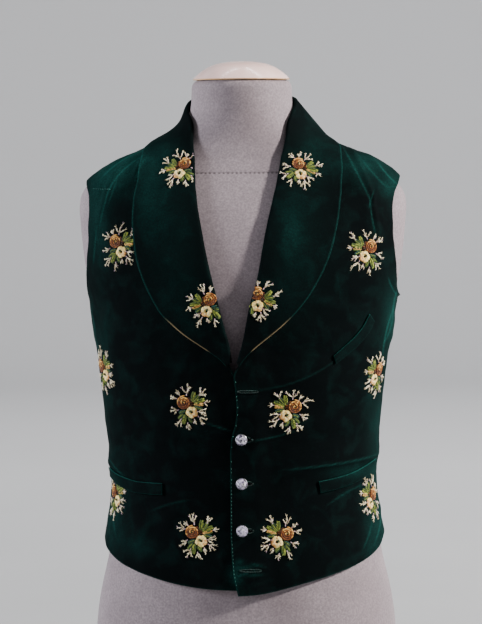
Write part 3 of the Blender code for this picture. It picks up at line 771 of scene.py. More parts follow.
def back_patch():
    """Turns and heights over the whole back, from the wearer's right side seam round to the left one."""
    right, up = half_back(-1)
    left, _ = half_back(1)
    whole = np.concatenate([right[:, :0:-1] * (-1, 1) + (360, 0), left], axis=1)
    return refine(whole, up, np.linspace(-1, 1, whole.shape[1]), *BACK_FINE)


# Materials.


def linear(code):
    """An sRGB hex colour as linear light."""
    shares = [int(code[k : k + 2], 16) / 255 for k in (0, 2, 4)]
    return tuple(s / 12.92 if s <= 0.04045 else ((s + 0.055) / 1.055) ** 2.4 for s in shares) + (1.0,)


def per_metre(size):
    """How many features of this size, in millimetres, fit in a metre, as a noise's scale is given."""
    return 1 / (size * MM)


def band_scale(spacing):
    """A wave's scale for bands about this far apart, in millimetres."""
    return per_metre(spacing) / math.pi


def add_node(tree, kind, settings=None, values=None, links=None):
    """A shader node with its settings, the values of its sockets and the outputs that feed its sockets."""
    made = tree.nodes.new("ShaderNode" + kind)
    for name, value in (settings or {}).items():
        setattr(made, name, value)
    for name, value in (values or {}).items():
        made.inputs[name].default_value = value
    for name, source in (links or {}).items():
        tree.links.new(source, made.inputs[name])
    return made


def new_finish(name, values):
    """An empty finish with its shader's values: the material, its node tree and the places on the object."""
    made = bpy.data.materials.new(name)
    made.use_nodes = True
    tree = made.node_tree
    shader = tree.nodes["Principled BSDF"]
    for socket, value in values.items():
        shader.inputs[socket].default_value = value
    return made, tree, add_node(tree, "TexCoord").outputs["Object"]


def fed(made, sources):
    """A finish whose shader is fed with what varies over the surface."""
    tree = made.node_tree
    for socket, source in sources.items():
        tree.links.new(source, tree.nodes["Principled BSDF"].inputs[socket])
    return made


COLOUR_MIX = {"data_type": "RGBA"}
MIX_FACTOR, MIX_A, MIX_B, MIX_RESULT = 0, 6, 7, 2  # a colour Mix node's own sockets


def cloudy(tree, place, noise, span):
    """Soft clouds: noise with these values, drawn out over a range."""
    cloud = add_node(tree, "TexNoise", {}, noise, {"Vector": place})
    return add_node(tree, "MapRange", {}, span, {"Value": cloud.outputs["Fac"]}).outputs["Result"]


def mottled(tree, place, size, colour, other, detail=3.0, low=0.35, high=0.65):
    """A soft mottle of two hex colours with patches of one size."""
    noise = {"Scale": per_metre(size), "Detail": detail}
    share = cloudy(tree, place, noise, {"From Min": low, "From Max": high})
    tones = {MIX_A: linear(colour), MIX_B: linear(other)}
    return add_node(tree, "Mix", COLOUR_MIX, tones, {MIX_FACTOR: share}).outputs[MIX_RESULT]


def grain_bump(tree, place, size, depth, strength, stretch=(1, 1, 1)):
    """A fine relief of one grain size and depth, in millimetres."""
    stretched = add_node(tree, "Mapping", {}, {"Scale": stretch}, {"Vector": place}).outputs["Vector"]
    grain = add_node(tree, "TexNoise", {}, {"Scale": per_metre(size), "Detail": 2.0}, {"Vector": stretched})
    relief = {"Strength": strength, "Distance": depth * MM}
    return add_node(tree, "Bump", {}, relief, {"Height": grain.outputs["Fac"]}).outputs["Normal"]


def silk_velvet(name):
    """Woven silk velvet with a cut nap: it swallows light where one looks into it, and turns teal at a
    glance.
    Teal is also painted into its colour: painted sheen over soft patches, partly where the nap lies flat,
    and a thin painted highlight along creases and turned edges. Long wear has bared a tan ground along the
    lapels' lower edges."""
    made, tree, place = new_finish(
        name,
        {
            "Roughness": 0.82,
            "IOR": 1.45,
            "Specular IOR Level": 0.02,
            "Sheen Weight": 0.1,
            "Sheen Roughness": 0.3,
            "Sheen Tint": linear("2a7a70"),
        },
    )
    # The painted sheen and painted highlights laid on each cloth, which mix teal into the colour
    painted_sheen = add_node(tree, "Attribute", {"attribute_name": "painted_sheen"}).outputs["Fac"]
    bald = add_node(tree, "Attribute", {"attribute_name": "bald"}).outputs["Fac"]
    crush = {"Scale": per_metre(24), "Detail": 5.0, "Distortion": 0.6}
    crushed = cloudy(tree, place, crush, {"From Min": 0.48, "From Max": 0.78, "To Max": 0.1})
    tuft = {"Scale": per_metre(1.6), "Detail": 2.0}
    tufted = cloudy(tree, place, tuft, {"From Min": 0.3, "From Max": 0.7, "To Min": 0.5, "To Max": 1.5})
    sheen_and_crush = add_node(tree, "Math", {"operation": "ADD"}, {}, {0: painted_sheen, 1: crushed}).outputs["Value"]
    clamped = {"operation": "MULTIPLY", "use_clamp": True}
    lit = add_node(tree, "Math", clamped, {}, {0: sheen_and_crush, 1: tufted}).outputs["Value"]
    # Near black, and teal where the painted sheen and painted highlights lie
    tones = {MIX_A: linear("05090a"), MIX_B: linear("14443f")}
    standing = add_node(tree, "Mix", COLOUR_MIX, tones, {MIX_FACTOR: lit}).outputs[MIX_RESULT]
    worn = add_node(
        tree, "Mix", COLOUR_MIX, {MIX_B: linear("9a8563")}, {MIX_FACTOR: bald, MIX_A: standing}
    ).outputs[MIX_RESULT]
    return fed(made, {"Base Color": worn, "Normal": grain_bump(tree, place, 1.6, 0.25, 0.5)})


def woven_cotton(name, colour, other, roughness, sheen):
    """Plain-woven cotton, calendered with a glaze: even and dark, with a low soft shine and a fine ribbed
    weave, drawn at four times its real thread spacing so that it shows."""
    made, tree, place = new_finish(
        name, {"Roughness": roughness, "IOR": 1.47, "Specular IOR Level": 0.16, "Sheen Weight": sheen}
    )
    tone = mottled(tree, place, 45, colour, other)
    thread = {"Scale": band_scale(1.4), "Distortion": 0.4, "Detail": 1.0}
    warp = add_node(tree, "TexWave", {"bands_direction": "X"}, thread, {"Vector": place}).outputs["Fac"]
    weft = add_node(tree, "TexWave", {"bands_direction": "Z"}, thread, {"Vector": place}).outputs["Fac"]
    cross = add_node(tree, "Math", {"operation": "MULTIPLY"}, {}, {0: warp, 1: weft}).outputs["Value"]
    weave = add_node(tree, "Bump", {}, {"Strength": 0.35, "Distance": 0.12 * MM}, {"Height": cross})
    return fed(made, {"Base Color": tone, "Normal": weave.outputs["Normal"]})


def knitted_jersey(name):
    """Cotton jersey stretched over the form: matt grey-mauve, speckled by its melange yarn, with the fine
    rows of the knit and a dotted line of stitches sunk in the chest seam."""
    made, tree, place = new_finish(
        name, {"Roughness": 0.92, "IOR": 1.47, "Specular IOR Level": 0.2, "Sheen Weight": 0.12}
    )
    tone = mottled(tree, place, 60, "857a7f", "90858a")
    fleck = {"Scale": per_metre(2.2), "Detail": 2.0}
    flecked = cloudy(tree, place, fleck, {"From Min": 0.32, "From Max": 0.68, "To Max": 0.5})
    melange = add_node(
        tree, "Mix", COLOUR_MIX, {MIX_B: linear("544b51")}, {MIX_FACTOR: flecked, MIX_A: tone}
    ).outputs[MIX_RESULT]
    seam = add_node(tree, "Attribute", {"attribute_name": "seam"}).outputs["Fac"]
    stitches = {"Scale": band_scale(5.2), "Distortion": 1.0, "Detail": 1.0}
    dots = add_node(tree, "TexWave", {"bands_direction": "X"}, stitches, {"Vector": place}).outputs["Fac"]
    dotted = add_node(tree, "Math", {"operation": "MULTIPLY"}, {}, {0: seam, 1: dots}).outputs["Value"]
    sewn = add_node(
        tree, "Mix", COLOUR_MIX, {MIX_B: linear("484044")}, {MIX_FACTOR: dotted, MIX_A: melange}
    ).outputs[MIX_RESULT]
    return fed(made, {"Base Color": sewn, "Normal": grain_bump(tree, place, 1.3, 0.2, 0.6, (1, 1, 1.8))})


def lacquered_wood(name):
    """Turned wood under pale pink lacquer: smooth and satin, with a faint orange-peel ripple in the
    lacquer, a little dust that dulls the colour in patches, and brown wood where the lip is rubbed bare."""
    made, tree, place = new_finish(
        name, {"Roughness": 0.4, "IOR": 1.5, "Coat Weight": 0.7, "Coat Roughness": 0.16, "Coat IOR": 1.5}
    )
    tone = mottled(tree, place, 26, "e6c2bb", "f0d2cb")
    height = add_node(tree, "SeparateXYZ", {}, {}, {0: place}).outputs["Z"]
    lip_span = {"From Min": (CAP_SEAT + 1.8) * MM, "From Max": (CAP_SEAT + 0.9) * MM}
    rubbed = add_node(tree, "MapRange", {}, lip_span, {"Value": height}).outputs["Result"]
    lip = add_node(
        tree, "Mix", COLOUR_MIX, {MIX_B: linear("d2a67a")}, {MIX_FACTOR: rubbed, MIX_A: tone}
    ).outputs[MIX_RESULT]
    return fed(made, {"Base Color": lip, "Normal": grain_bump(tree, place, 5, 0.08, 0.4)})


def silk_floss(name, colour, other):
    """Dyed silk floss: each stitch is a lustrous bundle of strands, lighter and darker along its length."""
    made, tree, place = new_finish(
        name,
        {
            "Roughness": 0.5,
            "IOR": 1.54,
            "Specular IOR Level": 0.25,
            "Sheen Weight": 0.06,
            "Sheen Roughness": 0.4,
        },
    )
    tone = mottled(tree, place, 2.4, colour, other, 2.0, 0.4, 0.6)
    return fed(made, {"Base Color": tone, "Normal": grain_bump(tree, place, 0.35, 0.06, 0.6)})


def cut_glass(name):
    """Press-moulded and polished lead glass over foil, pale violet, with a painted reflection: a random few
    of its facets are painted dark violet and the rest pale, while the lamps give bright flashes off their
    faces."""
    made, tree, place = new_finish(
        name,
        {
            "Roughness": 0.03,
            "IOR": 1.58,
            "Transmission Weight": 0.2,
            "Coat Weight": 0.5,
            "Coat Roughness": 0.03,
        },
    )
    tone = mottled(tree, place, 2.2, "cfc0ee", "ffffff")
    # The painted dark reflection, given to each facet at random
    dark = add_node(tree, "Attribute", {"attribute_name": "painted_dark_reflection"}).outputs["Fac"]
    shown = add_node(tree, "Mix", COLOUR_MIX, {MIX_B: linear("1c1430")}, {MIX_FACTOR: dark, MIX_A: tone})
    return fed(made, {"Base Color": shown.outputs[MIX_RESULT]})


def silvered_brass(name):
    """Stamped brass with silver plate: bright, with soft scuffs that vary the gloss."""
    made, tree, place = new_finish(name, {"Metallic": 1.0, "Roughness": 0.24})
    tone = mottled(tree, place, 1.8, "cfcbd2", "efedf2")
    scuff = {"Scale": per_metre(1.2), "Detail": 3.0}
    gloss = cloudy(tree, place, scuff, {"To Min": 0.16, "To Max": 0.4})
    return fed(made, {"Base Color": tone, "Roughness": gloss})


def graduated_paper(name):
    """Matt studio paper, graduated from mid grey underfoot to pale grey up the sweep."""
    made, tree, place = new_finish(name, {"Roughness": 0.95, "Specular IOR Level": 0.1})
    away = add_node(tree, "VectorMath", {"operation": "LENGTH"}, {}, {0: place}).outputs["Value"]
    smooth = {"interpolation_type": "SMOOTHSTEP"}
    rise = add_node(tree, "MapRange", smooth, {"From Min": 0.8, "From Max": 5.0}, {"Value": away})
    tone = mottled(tree, place, 900, "949597", "9a9b9d")
    sources = {MIX_FACTOR: rise.outputs["Result"], MIX_A: tone}
    faded = add_node(tree, "Mix", COLOUR_MIX, {MIX_B: linear("cccdd0")}, sources)
    return fed(made, {"Base Color": faded.outputs[MIX_RESULT]})


VELVET_FINISH = silk_velvet("silk_velvet_bottle_green")
LINING_FINISH = woven_cotton("cotton_sateen_lining", "0e1817", "13201e", 0.6, 0.05)
BACK_FINISH = woven_cotton("glazed_cotton_back", "0a1513", "101e1b", 0.68, 0.0)
JERSEY_FINISH = knitted_jersey("cotton_jersey_grey")
LACQUER_FINISH = lacquered_wood("pink_lacquered_wood")
GLASS_FINISH = cut_glass("violet_lead_glass")
RIM_FINISH = silvered_brass("silvered_brass")
PAPER_FINISH = graduated_paper("grey_studio_paper")
TWIST_FINISH = silk_floss("teal_buttonhole_twist", "061a18", "0f332e")
PRICK_FINISH = silk_floss("pale_teal_sewing_silk", "1c4841", "397468")

# Each thread of the sprigs with its two tones.
THREADS = {
    "rust": ("4c2206", "743a0c"),
    "copper": ("74400e", "a0621e"),
    "gold": ("b47e34", "e0b062"),
    "umber": ("2c1606", "4a280a"),
    "cream": ("e4c468", "fbeaa4"),
    "peach": ("d0904a", "eebc7c"),
    "lime": ("606e20", "929a3a"),
    "olive": ("3c4c16", "5a6a2a"),
    "moss": ("143012", "26441e"),
    "teal": ("08302c", "12463c"),
    "ivory": ("b8a886", "f6eccf"),
    "lilac": ("987c8c", "ccb4be"),
    "sand": ("7c6a58", "a99878"),
}
THREAD_ORDER = {name: number for number, name in enumerate(THREADS)}
THREAD_FINISHES = [silk_floss(f"silk_floss_{name}", *tones) for name, tones in THREADS.items()]


# Meshes.


def new_piece(name, mesh, finishes, body="root"):
    """A shown piece of the object, with its finishes, riding on its body."""
    for finish in finishes:
        mesh.materials.append(finish)
    made = bpy.data.objects.new(name, mesh)
    bpy.context.scene.collection.objects.link(made)
    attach(made, body)
    return made


def sheet_mesh(name, points, marks=None, closed=False, lower=None):
    """A sheet of quads over rows of points, with a value at each point for each named mark. closed joins each
    row's ends. lower holds the points that the quads below each row use, which differ along an open slit."""
    rows, columns = points.shape[:2]
    upper_index = np.arange(rows * columns).reshape(rows, columns)
    lower_index = upper_index.copy()
    places = points.reshape(-1, 3)
    sources = upper_index.ravel()
    if lower is not None:
        split = np.linalg.norm(points - lower, axis=-1) > 0
        lower_index[split] = rows * columns + np.arange(split.sum())
        places = np.concatenate([places, lower[split]])
        sources = np.concatenate([sources, upper_index[split]])
    if closed:
        upper_index = np.concatenate([upper_index, upper_index[:, :1]], axis=1)
        lower_index = np.concatenate([lower_index, lower_index[:, :1]], axis=1)
    corners = [upper_index[:-1, :-1], upper_index[:-1, 1:], lower_index[1:, 1:], lower_index[1:, :-1]]
    faces = np.stack(corners, -1).reshape(-1, 4).tolist()
    if closed:
        faces += [upper_index[0, :-1][::-1].tolist(), upper_index[-1, :-1].tolist()]
    mesh = bpy.data.meshes.new(name)
    mesh.from_pydata((places * MM).tolist(), [], faces)
    for mark, values in (marks or {}).items():
        layer = mesh.attributes.new(mark, "FLOAT", "POINT")
        layer.data.foreach_set("value", np.asarray(values, np.float32).ravel()[sources])
    mesh.shade_smooth()
    return mesh


def give_wall(made, thickness, offset, inside=1):
    """Gives a sheet its thickness and its rounded edges; inside is the slot of the inner face's finish."""
    solid = made.modifiers.new("wall", "SOLIDIFY")
    solid.thickness = thickness * MM
    solid.offset = offset
    solid.material_offset = inside
    soft = made.modifiers.new("turned_edge", "BEVEL")
    soft.width = EDGE_ROUND * MM
    soft.segments = EDGE_STEPS
    soft.limit_method = "ANGLE"
    soft.angle_limit = math.radians(EDGE_CORNER)
    return made


def step_lengths(points, axis):
    """How far along its row (axis 1) or column (axis 0) each point lies."""
    steps = np.linalg.norm(np.diff(points, axis=axis), axis=-1)
    start = np.zeros_like(steps.take([0], axis=axis))
    return np.concatenate([start, np.cumsum(steps, axis=axis)], axis=axis)


EDGE_LINE = 0.45  # width over which the painted highlight along a turned edge fades
CREASE_SHINE = 0.42  # strength of the painted highlight on the sharpest crease
PATCH_SHINE = 0.6  # and in the middle of a patch of painted sheen


def edge_light(points, low=0.0, high=0.0, start=0.0, end=0.0):
    """The painted highlight along a sheet's first and last row and column, each with its own strength."""
    up, across = step_lengths(points, 0), step_lengths(points, 1)
    away = (up, up[-1:] - up, across, across[:, -1:] - across)
    return sum(s * np.exp(-((d / EDGE_LINE) ** 2)) for s, d in zip((low, high, start, end), away))


def brushed_and_sheen(points):
    """How much painted sheen the velvet's colour gets at points: over its patches, partly where the nap lies
    flat, and as a painted highlight on its creases.
    """
    total = CREASE_SHINE * crease_light(points)
    for patch in rows_of(BRUSHED_AND_SHEEN_PATCHES):
        shine = PATCH_SHINE * patch["light"]
        total += shine * patch_share(points, patch) * on_face(points, patch["face"])
    return total


def button_frame(height):
    """The left front's outer surface under a button: a point, and the way out of the cloth."""
    turn = turn_at(np.array(BUTTON_ACROSS), np.array(height))
    point = on_cloth(turn, np.array(height), 1, VELVET)
    normal, _ = outward(point)
    return point, normal


def open_slits(points):
    """The left front's points above and below each row, parted where the shanks hold the slits open."""
    upper, lower = points.copy(), points.copy()
    for height in BUTTON_HEIGHTS:
        point, normal = button_frame(height)
        centre = point + (SLIT_OFFSET, 0, 0)
        along = unit(np.array([1.0, 0, 0]) - normal * normal[0])
        rise = np.cross(normal, along)
        rise *= np.sign(rise[2])
        local = points - centre
        a, b = local @ along, local @ rise
        near = np.abs(a) < SLIT_LENGTH / 2
        column = int(np.argmin(np.abs(a[0])))
        row = int(np.argmin(np.abs(b[:, column])))
        half = SLIT_WIDTH / 2 * np.sqrt(np.clip(1 - (a / (SLIT_LENGTH / 2)) ** 2, 0, 1))
        steps = np.arange(len(points))[:, None] - row
        fade = np.clip(1 - np.abs(steps) / SLIT_SPREAD, 0, 1)
        level = np.where(near, -b[row] * fade, 0)
        rise_up = np.where(near, half * fade * np.where(steps >= 0, 1, -1), 0)
        upper += (level + rise_up)[..., None] * rise
        rise_low = np.where(steps == 0, -rise_up, rise_up)
        lower += (level + rise_low)[..., None] * rise
    return upper, lower


FREE_EDGE_FADE = 6.0  # height over which a painted edge highlight starts or ends


def make_front(name, side):
    """One velvet front over its patch, with its slits and painted highlights along its edges."""
    patch = front_patch(side)
    points = on_cloth(patch[..., 0], patch[..., 1], side, VELVET)
    free_edge = ease_in((OVERLAP_TOP - patch[..., 1]) / FREE_EDGE_FADE)
    armhole = ease_in((patch[..., 1] - ARMPIT) / FREE_EDGE_FADE)
    # Painted sheen, and painted highlights along the hem, the front edge and the armhole
    painted_sheen = brushed_and_sheen(points) + edge_light(points, low=0.2) + edge_light(points, start=0.24) * free_edge
    painted_sheen += edge_light(points, end=0.25) * armhole
    marks = {"painted_sheen": painted_sheen, "bald": 0 * painted_sheen}
    lower = None
    if side > 0:
        points, lower = open_slits(points)
    else:
        points = points[:, ::-1]
        marks = {mark: values[:, ::-1] for mark, values in marks.items()}
    mesh = sheet_mesh(name, points, marks, lower=lower)
    made = new_piece(name, mesh, [VELVET_FINISH, LINING_FINISH])
    give_wall(made, VELVET, -1)
    return made


def make_back(name):
    """The cotton back."""
    patch = back_patch()
    points = on_cloth(patch[..., 0], patch[..., 1], 0, VELVET)[:, ::-1]
    made = new_piece(name, sheet_mesh(name, points), [BACK_FINISH, LINING_FINISH])
    give_wall(made, VELVET, -1)
    return made


BALD_FROM, BALD_TO = 2.1, 5.8  # the ribs between which the lapels' edges are worn through,
BALD_IN, BALD_OUT = 0.5, 0.9  # and over how much of a rib's spacing the wear starts and ends
BALD_SHARE = 0.75
BALD_LINE = 0.65


def make_collar(name, side):
    """One half of the shawl collar, from the break to the seam at centre back."""
    stations = np.linspace(0, BACK_RIB, COLLAR_STATIONS)
    points = np.array([collar_section(side, station) for station in stations])
    points[-1, :, 0] = side * COLLAR_SEAM / 2
    along = step_lengths(points, 1)
    to_edge = along[:, -1:] - along
    worn = ease_in((stations - BALD_FROM) / BALD_IN) * ease_in((BALD_TO - stations) / BALD_OUT)
    # Painted sheen, and a painted highlight along the outer edge; bald is real wear
    painted_sheen = brushed_and_sheen(points) + edge_light(points, end=0.4)
    bald = BALD_SHARE * worn[:, None] * np.exp(-((to_edge / BALD_LINE) ** 2))
    if side > 0:
        points, painted_sheen, bald = points[::-1], painted_sheen[::-1], bald[::-1]
    made = new_piece(name, sheet_mesh(name, points, {"painted_sheen": painted_sheen, "bald": bald}), [VELVET_FINISH])
    give_wall(made, COLLAR, 0, 0)
    return made


def make_welt(name, rows):
    """A pocket welt that lies on its front."""
    share = np.linspace(0, 1, WELT_STEPS)
    knots = np.linspace(0, 1, len(rows["top"]))
    top, bottom = (
        np.stack([through(knots, rows[across], share), through(knots, rows[height], share)], -1)
        for across, height in (("across_top", "top"), ("across_bottom", "bottom"))
    )
    down = np.linspace(0, 1, WELT_ROWS)[:, None, None]
    place = (1 - down) * top[None] + down * bottom[None]
    side = 1 if rows["across_top"][0] > 0 else -1
    crown = WELT_CROWN * (4 * down * (1 - down))[..., 0] * (4 * share * (1 - share)) ** 0.3
    turns = turn_at(place[..., 0], place[..., 1])
    points = on_cloth(turns, place[..., 1], side, VELVET + WELT_LIFT + WELT_THICK + crown)
    # Painted sheen, with painted highlights along the welt's four edges
    painted_sheen = 0.02 + brushed_and_sheen(points) + edge_light(points, low=0.7, high=0.3, start=0.3, end=0.3)
    if side > 0:
        points, painted_sheen = points[::-1], painted_sheen[::-1]
    made = new_piece(name, sheet_mesh(name, points, {"painted_sheen": painted_sheen, "bald": 0 * painted_sheen}), [VELVET_FINISH])
    give_wall(made, WELT_THICK, -1, 0)
    return made


def make_form(name):
    """The jersey-covered torso and neck, with the sunk seam across the chest."""
    spread = np.linspace(FORM["height"][0], FORM["height"][-1], FORM_ROWS)
    seam_rows = FORM_SEAM + FORM_SEAM_WIDTH * np.linspace(-2, 2, 9)
    heights = np.unique(np.round(np.concatenate([spread, seam_rows, FORM["height"]]), 3))[:, None]
    turns = np.linspace(0, 360, FORM_SEGMENTS, endpoint=False)[None, :]
    points = on_form(turns + 0 * heights, heights + 0 * turns)
    sunk = np.exp(-(((heights - FORM_SEAM) / FORM_SEAM_WIDTH) ** 2)) + 0 * turns
    normals, _ = outward(points)
    hollow = FORM_HOLLOW["depth"] * patch_share(points, FORM_HOLLOW) * (points[..., 1] < 0)
    points = points - normals * (FORM_SEAM_DEPTH * sunk + hollow)[..., None]
    mesh = sheet_mesh(name, points, {"seam": sunk}, closed=True)
    mesh.set_sharp_from_angle(angle=math.radians(FORM_CORNER))
    return new_piece(name, mesh, [JERSEY_FINISH])


def turned_mesh(name, profile, steps, closed=True):
    """A turned piece: the profile runs from the axis outwards, and, where it is closed, back to the axis."""
    turns = np.linspace(0, 2 * math.pi, steps, endpoint=False)
    rings = profile[1:-1] if closed else profile[1:]
    places, faces = [(0, 0, profile[0][1])], []
    for radius, height in rings:
        places += [(radius * math.cos(t), radius * math.sin(t), height) for t in turns]
    if closed:
        places.append((0, 0, profile[-1][1]))
    for j in range(steps):
        k = (j + 1) % steps
        faces.append((0, 1 + j, 1 + k))
        for a in range(1, 1 + steps * (len(rings) - 1), steps):
            faces.append((a + j, a + steps + j, a + steps + k, a + k))
        if closed:
            last = len(places) - 1
            faces.append((last, last - steps + k, last - steps + j))
    mesh = bpy.data.meshes.new(name)
    mesh.from_pydata((np.array(places) * MM).tolist(), [], faces)
    mesh.shade_smooth()
    return mesh


def make_cap(name):
    """The neck's turned cap."""
    knots = np.linspace(0, 1, len(CAP_DOME["out"]))
    share = np.linspace(0, 1, CAP_ROWS)
    dome = np.stack([through(knots, CAP_DOME["out"], share), through(knots, CAP_DOME["up"], share)], -1)
    profile = [(out * CAP_RADIUS, up * CAP_HEIGHT) for out, up in [*dome.tolist(), *CAP_UNDERSIDE]]
    mesh = turned_mesh(name, profile, CAP_STEPS)
    mesh.transform(Matrix.Translation((0, -NECK_AXIS_FRONT * MM, CAP_SEAT * MM)))
    mesh.set_sharp_from_angle(angle=math.radians(CAP_CORNER))
    return new_piece(name, mesh, [LACQUER_FINISH])


# The button: a stamped rim with a beaded edge, the shank, and the facets of the glass.
RIM_PROFILE = (
    (0, 1.5),
    (6.0, 1.5),
    (6.15, 2.6),
    (6.5, 2.8),
    (6.85, 2.4),
    (7.0, 1.6),
    (6.6, 0.7),
    (SHANK_RADIUS, 0.6),
    (SHANK_RADIUS, SHANK_FOOT),
    (0, SHANK_FOOT),
)
RIM_STEPS = 64
RIM_CORNER = 40.0
BEAD_FROM = 6.3  # the radius beyond which the rim is beaded
BEAD_DEPTH = 0.12
GLASS_RINGS = (
    # radius, height, how many corners, how far they are turned
    (1.5, 5.15, 6, 0.0),
    (3.4, 4.75, 6, 0.5),
    (5.0, 3.7, 12, 0.0),
    (6.05, 2.2, 12, 0.5),
    (6.05, 1.6, 12, 0.5),
)
DARK_REFLECTION_CONTRAST = 1.2  # most facets stay pale and a few get the painted dark reflection


def nearest_corner(places, start, stop, ring):
    """Which corner of a ring lies nearest the middle between two corners of another, seen from the front."""
    middle = (places[start][0] + places[stop][0], places[start][1] + places[stop][1])
    return min(range(len(ring)), key=lambda i: math.dist(middle, [2 * c for c in places[ring[i]][:2]]))


def glass_mesh(name, chance):
    """The faceted dome: a table, two belts of kites and a girdle."""
    places, rings = [], []
    for radius, height, count, twist in GLASS_RINGS:
        turns = (np.arange(count) + twist) * 2 * math.pi / count
        rings.append(len(places) + np.arange(count))
        places += [(radius * math.cos(t), radius * math.sin(t), height) for t in turns]
    faces = [rings[0].tolist()]
    for inner, outer in zip(rings[:-1], rings[1:]):
        n, m = len(inner), len(outer)
        for j in range(m):
            k = (j + 1) % m
            nearest = inner[nearest_corner(places, outer[j], outer[k], inner)]
            faces.append((int(outer[j]), int(outer[k]), int(nearest)))
        for i in range(n):
            k = (i + 1) % n
            nearest = outer[nearest_corner(places, inner[i], inner[k], outer)]
            faces.append((int(inner[k]), int(inner[i]), int(nearest)))
    faces.append(rings[-1][::-1].tolist())
    mesh = bpy.data.meshes.new(name)
    mesh.from_pydata((np.array(places) * MM).tolist(), [], faces)
    # A random painted dark reflection for each facet
    dark = chance.random(len(faces)) ** DARK_REFLECTION_CONTRAST
    mesh.attributes.new("painted_dark_reflection", "FLOAT", "FACE").data.foreach_set("value", dark.astype(np.float32))
    return mesh


def make_button(name, height, chance):
    """A domed glass button in its beaded rim, with its shank; returns the rim and the glass."""
    point, normal = button_frame(height)
    tilt = math.atan2(math.hypot(normal[0], normal[1]), normal[2])
    bearing = math.atan2(normal[0], -normal[1])
    facing = Matrix.Rotation(bearing, 4, "Z") @ Matrix.Rotation(tilt, 4, "X")
    place = Matrix.Translation(Vector(point) * MM) @ facing
    rim = turned_mesh(f"{name}_rim", RIM_PROFILE, RIM_STEPS)
    for vertex in rim.vertices:
        radius = math.hypot(vertex.co.x, vertex.co.y) / MM
        if radius > BEAD_FROM:
            bead = 1 - BEAD_DEPTH / radius * (vertex.index % 2)
            vertex.co.x *= bead
            vertex.co.y *= bead
    rim.set_sharp_from_angle(angle=math.radians(RIM_CORNER))
    glass = glass_mesh(f"{name}_glass", chance)
    rim.transform(place)
    glass.transform(place)
    return new_piece(f"{name}_rim", rim, [RIM_FINISH]), new_piece(f"{name}_glass", glass, [GLASS_FINISH])


# Stitches. A stitch is a row of places in the flat, how high each stands above the cloth, and how thick
# it is.

STITCH_SIDES = 5
STITCH_SINK = 0.25  # how far a stitch's ends sink into the pile
STITCH_TAPER = 0.45  # how thick its ends are, as a share of its middle
STITCH_ARCH = 0.6  # how square it arches: 1 is round, less is flatter on top
STITCHES = {
    # how high the middle stands above the cloth, half the width, half the height
    "petal": (0.5, 0.62, 0.4),
    "spiral": (1.0, 0.8, 0.6),
    "spiral_line": (1.2, 0.42, 0.4),
    "knot": (1.9, 0.5, 0.5),
    "satin": (0.85, 0.52, 0.34),
    "inner_satin": (1.3, 0.4, 0.3),
    "lobe_line": (1.2, 0.38, 0.3),
    "fishbone": (0.6, 0.56, 0.36),
    "vein": (0.95, 0.3, 0.26),
    "stem": (0.8, 0.6, 0.5),
    "twig": (0.9, 0.36, 0.5),
    # the painted shadow beside a twig
    "painted_twig_shadow": (0.5, 0.36, 0.4),
    "spur": (0.9, 0.36, 0.46),
    "buttonhole": (0.5, 0.36, 0.34),
    "bar": (0.6, 0.36, 0.36),
    "prick": (0.35, 0.34, 0.3),
    "running": (0.4, 0.34, 0.3),
}
RAY_START = 30.0  # how far outside a place the cloth below it is looked for,
RAY_LENGTH = 60.0  # and how deep
RAY_FACING = 0.3  # cloth that turns further away than this takes no stitch


class Stitches:
    """The stitches of one piece of embroidery or sewing, gathered into one mesh."""

    def __init__(self):
        self.places = []
        self.faces = []
        self.slots = []
        self.count = 0

    def add(self, centres, normals, wide, tall, slot):
        """A tapered, slightly flattened bundle of thread along a path."""
        tangents = unit(np.gradient(centres, axis=0))
        aside = unit(np.cross(tangents, normals))
        above = np.cross(aside, tangents)
        turns = np.linspace(0, 2 * math.pi, STITCH_SIDES, endpoint=False)[None, :, None]
        taper = np.ones(len(centres))
        taper[0] = taper[-1] = STITCH_TAPER
        w, t = (taper * wide)[:, None, None], (taper * tall)[:, None, None]
        rings = centres[:, None] + w * np.cos(turns) * aside[:, None] + t * np.sin(turns) * above[:, None]
        index = self.count + np.arange(len(centres) * STITCH_SIDES).reshape(len(centres), STITCH_SIDES)
        after = np.roll(index, -1, axis=1)
        quads = np.stack([index[:-1], index[1:], after[1:], after[:-1]], -1).reshape(-1, 4)
        self.places.append(rings.reshape(-1, 3))
        self.faces += quads.tolist() + [index[0].tolist(), index[-1][::-1].tolist()]
        self.slots += [slot] * (len(quads) + 2)
        self.count += index.size

    def piece(self, name, finishes):
        """The gathered stitches as one shown piece."""
        mesh = bpy.data.meshes.new(name)
        mesh.from_pydata((np.concatenate(self.places) * MM).tolist(), [], self.faces)
        mesh.polygons.foreach_set("material_index", self.slots)
        mesh.shade_smooth()
        return new_piece(name, mesh, finishes)


class Ground:
    """The outer surface of a piece of cloth, to lay stitches on."""

    def __init__(self, piece):
        graph = bpy.context.evaluated_depsgraph_get()
        mesh = piece.evaluated_get(graph).to_mesh()
        places = [tuple(v.co / MM) for v in mesh.vertices]
        self.tree = BVHTree.FromPolygons(places, [tuple(p.vertices) for p in mesh.polygons])

    def under(self, place, outward_way):
        """The point of the cloth and its normal below a place, or None where there is no cloth."""
        way = Vector(outward_way)
        hit, normal, _, _ = self.tree.ray_cast(Vector(place) + RAY_START * way, -way, RAY_LENGTH)
        if hit is None or normal.dot(way) < RAY_FACING:
            return None
        return np.array(hit), np.array(normal)

    def lay(self, stitches, origin, axes, flat, lifts, wide, tall, slot):
        """Lays one stitch, given flat in a frame of axes at an origin, on the cloth, if there is any."""
        found = [self.under(origin + x * axes[0] + y * axes[1], axes[2]) for x, y in flat]
        if any(spot is None for spot in found):
            return
        feet = np.array([spot[0] for spot in found])
        normals = np.array([spot[1] for spot in found])
        stitches.add(feet + normals * np.asarray(lifts)[:, None], normals, wide, tall, slot)


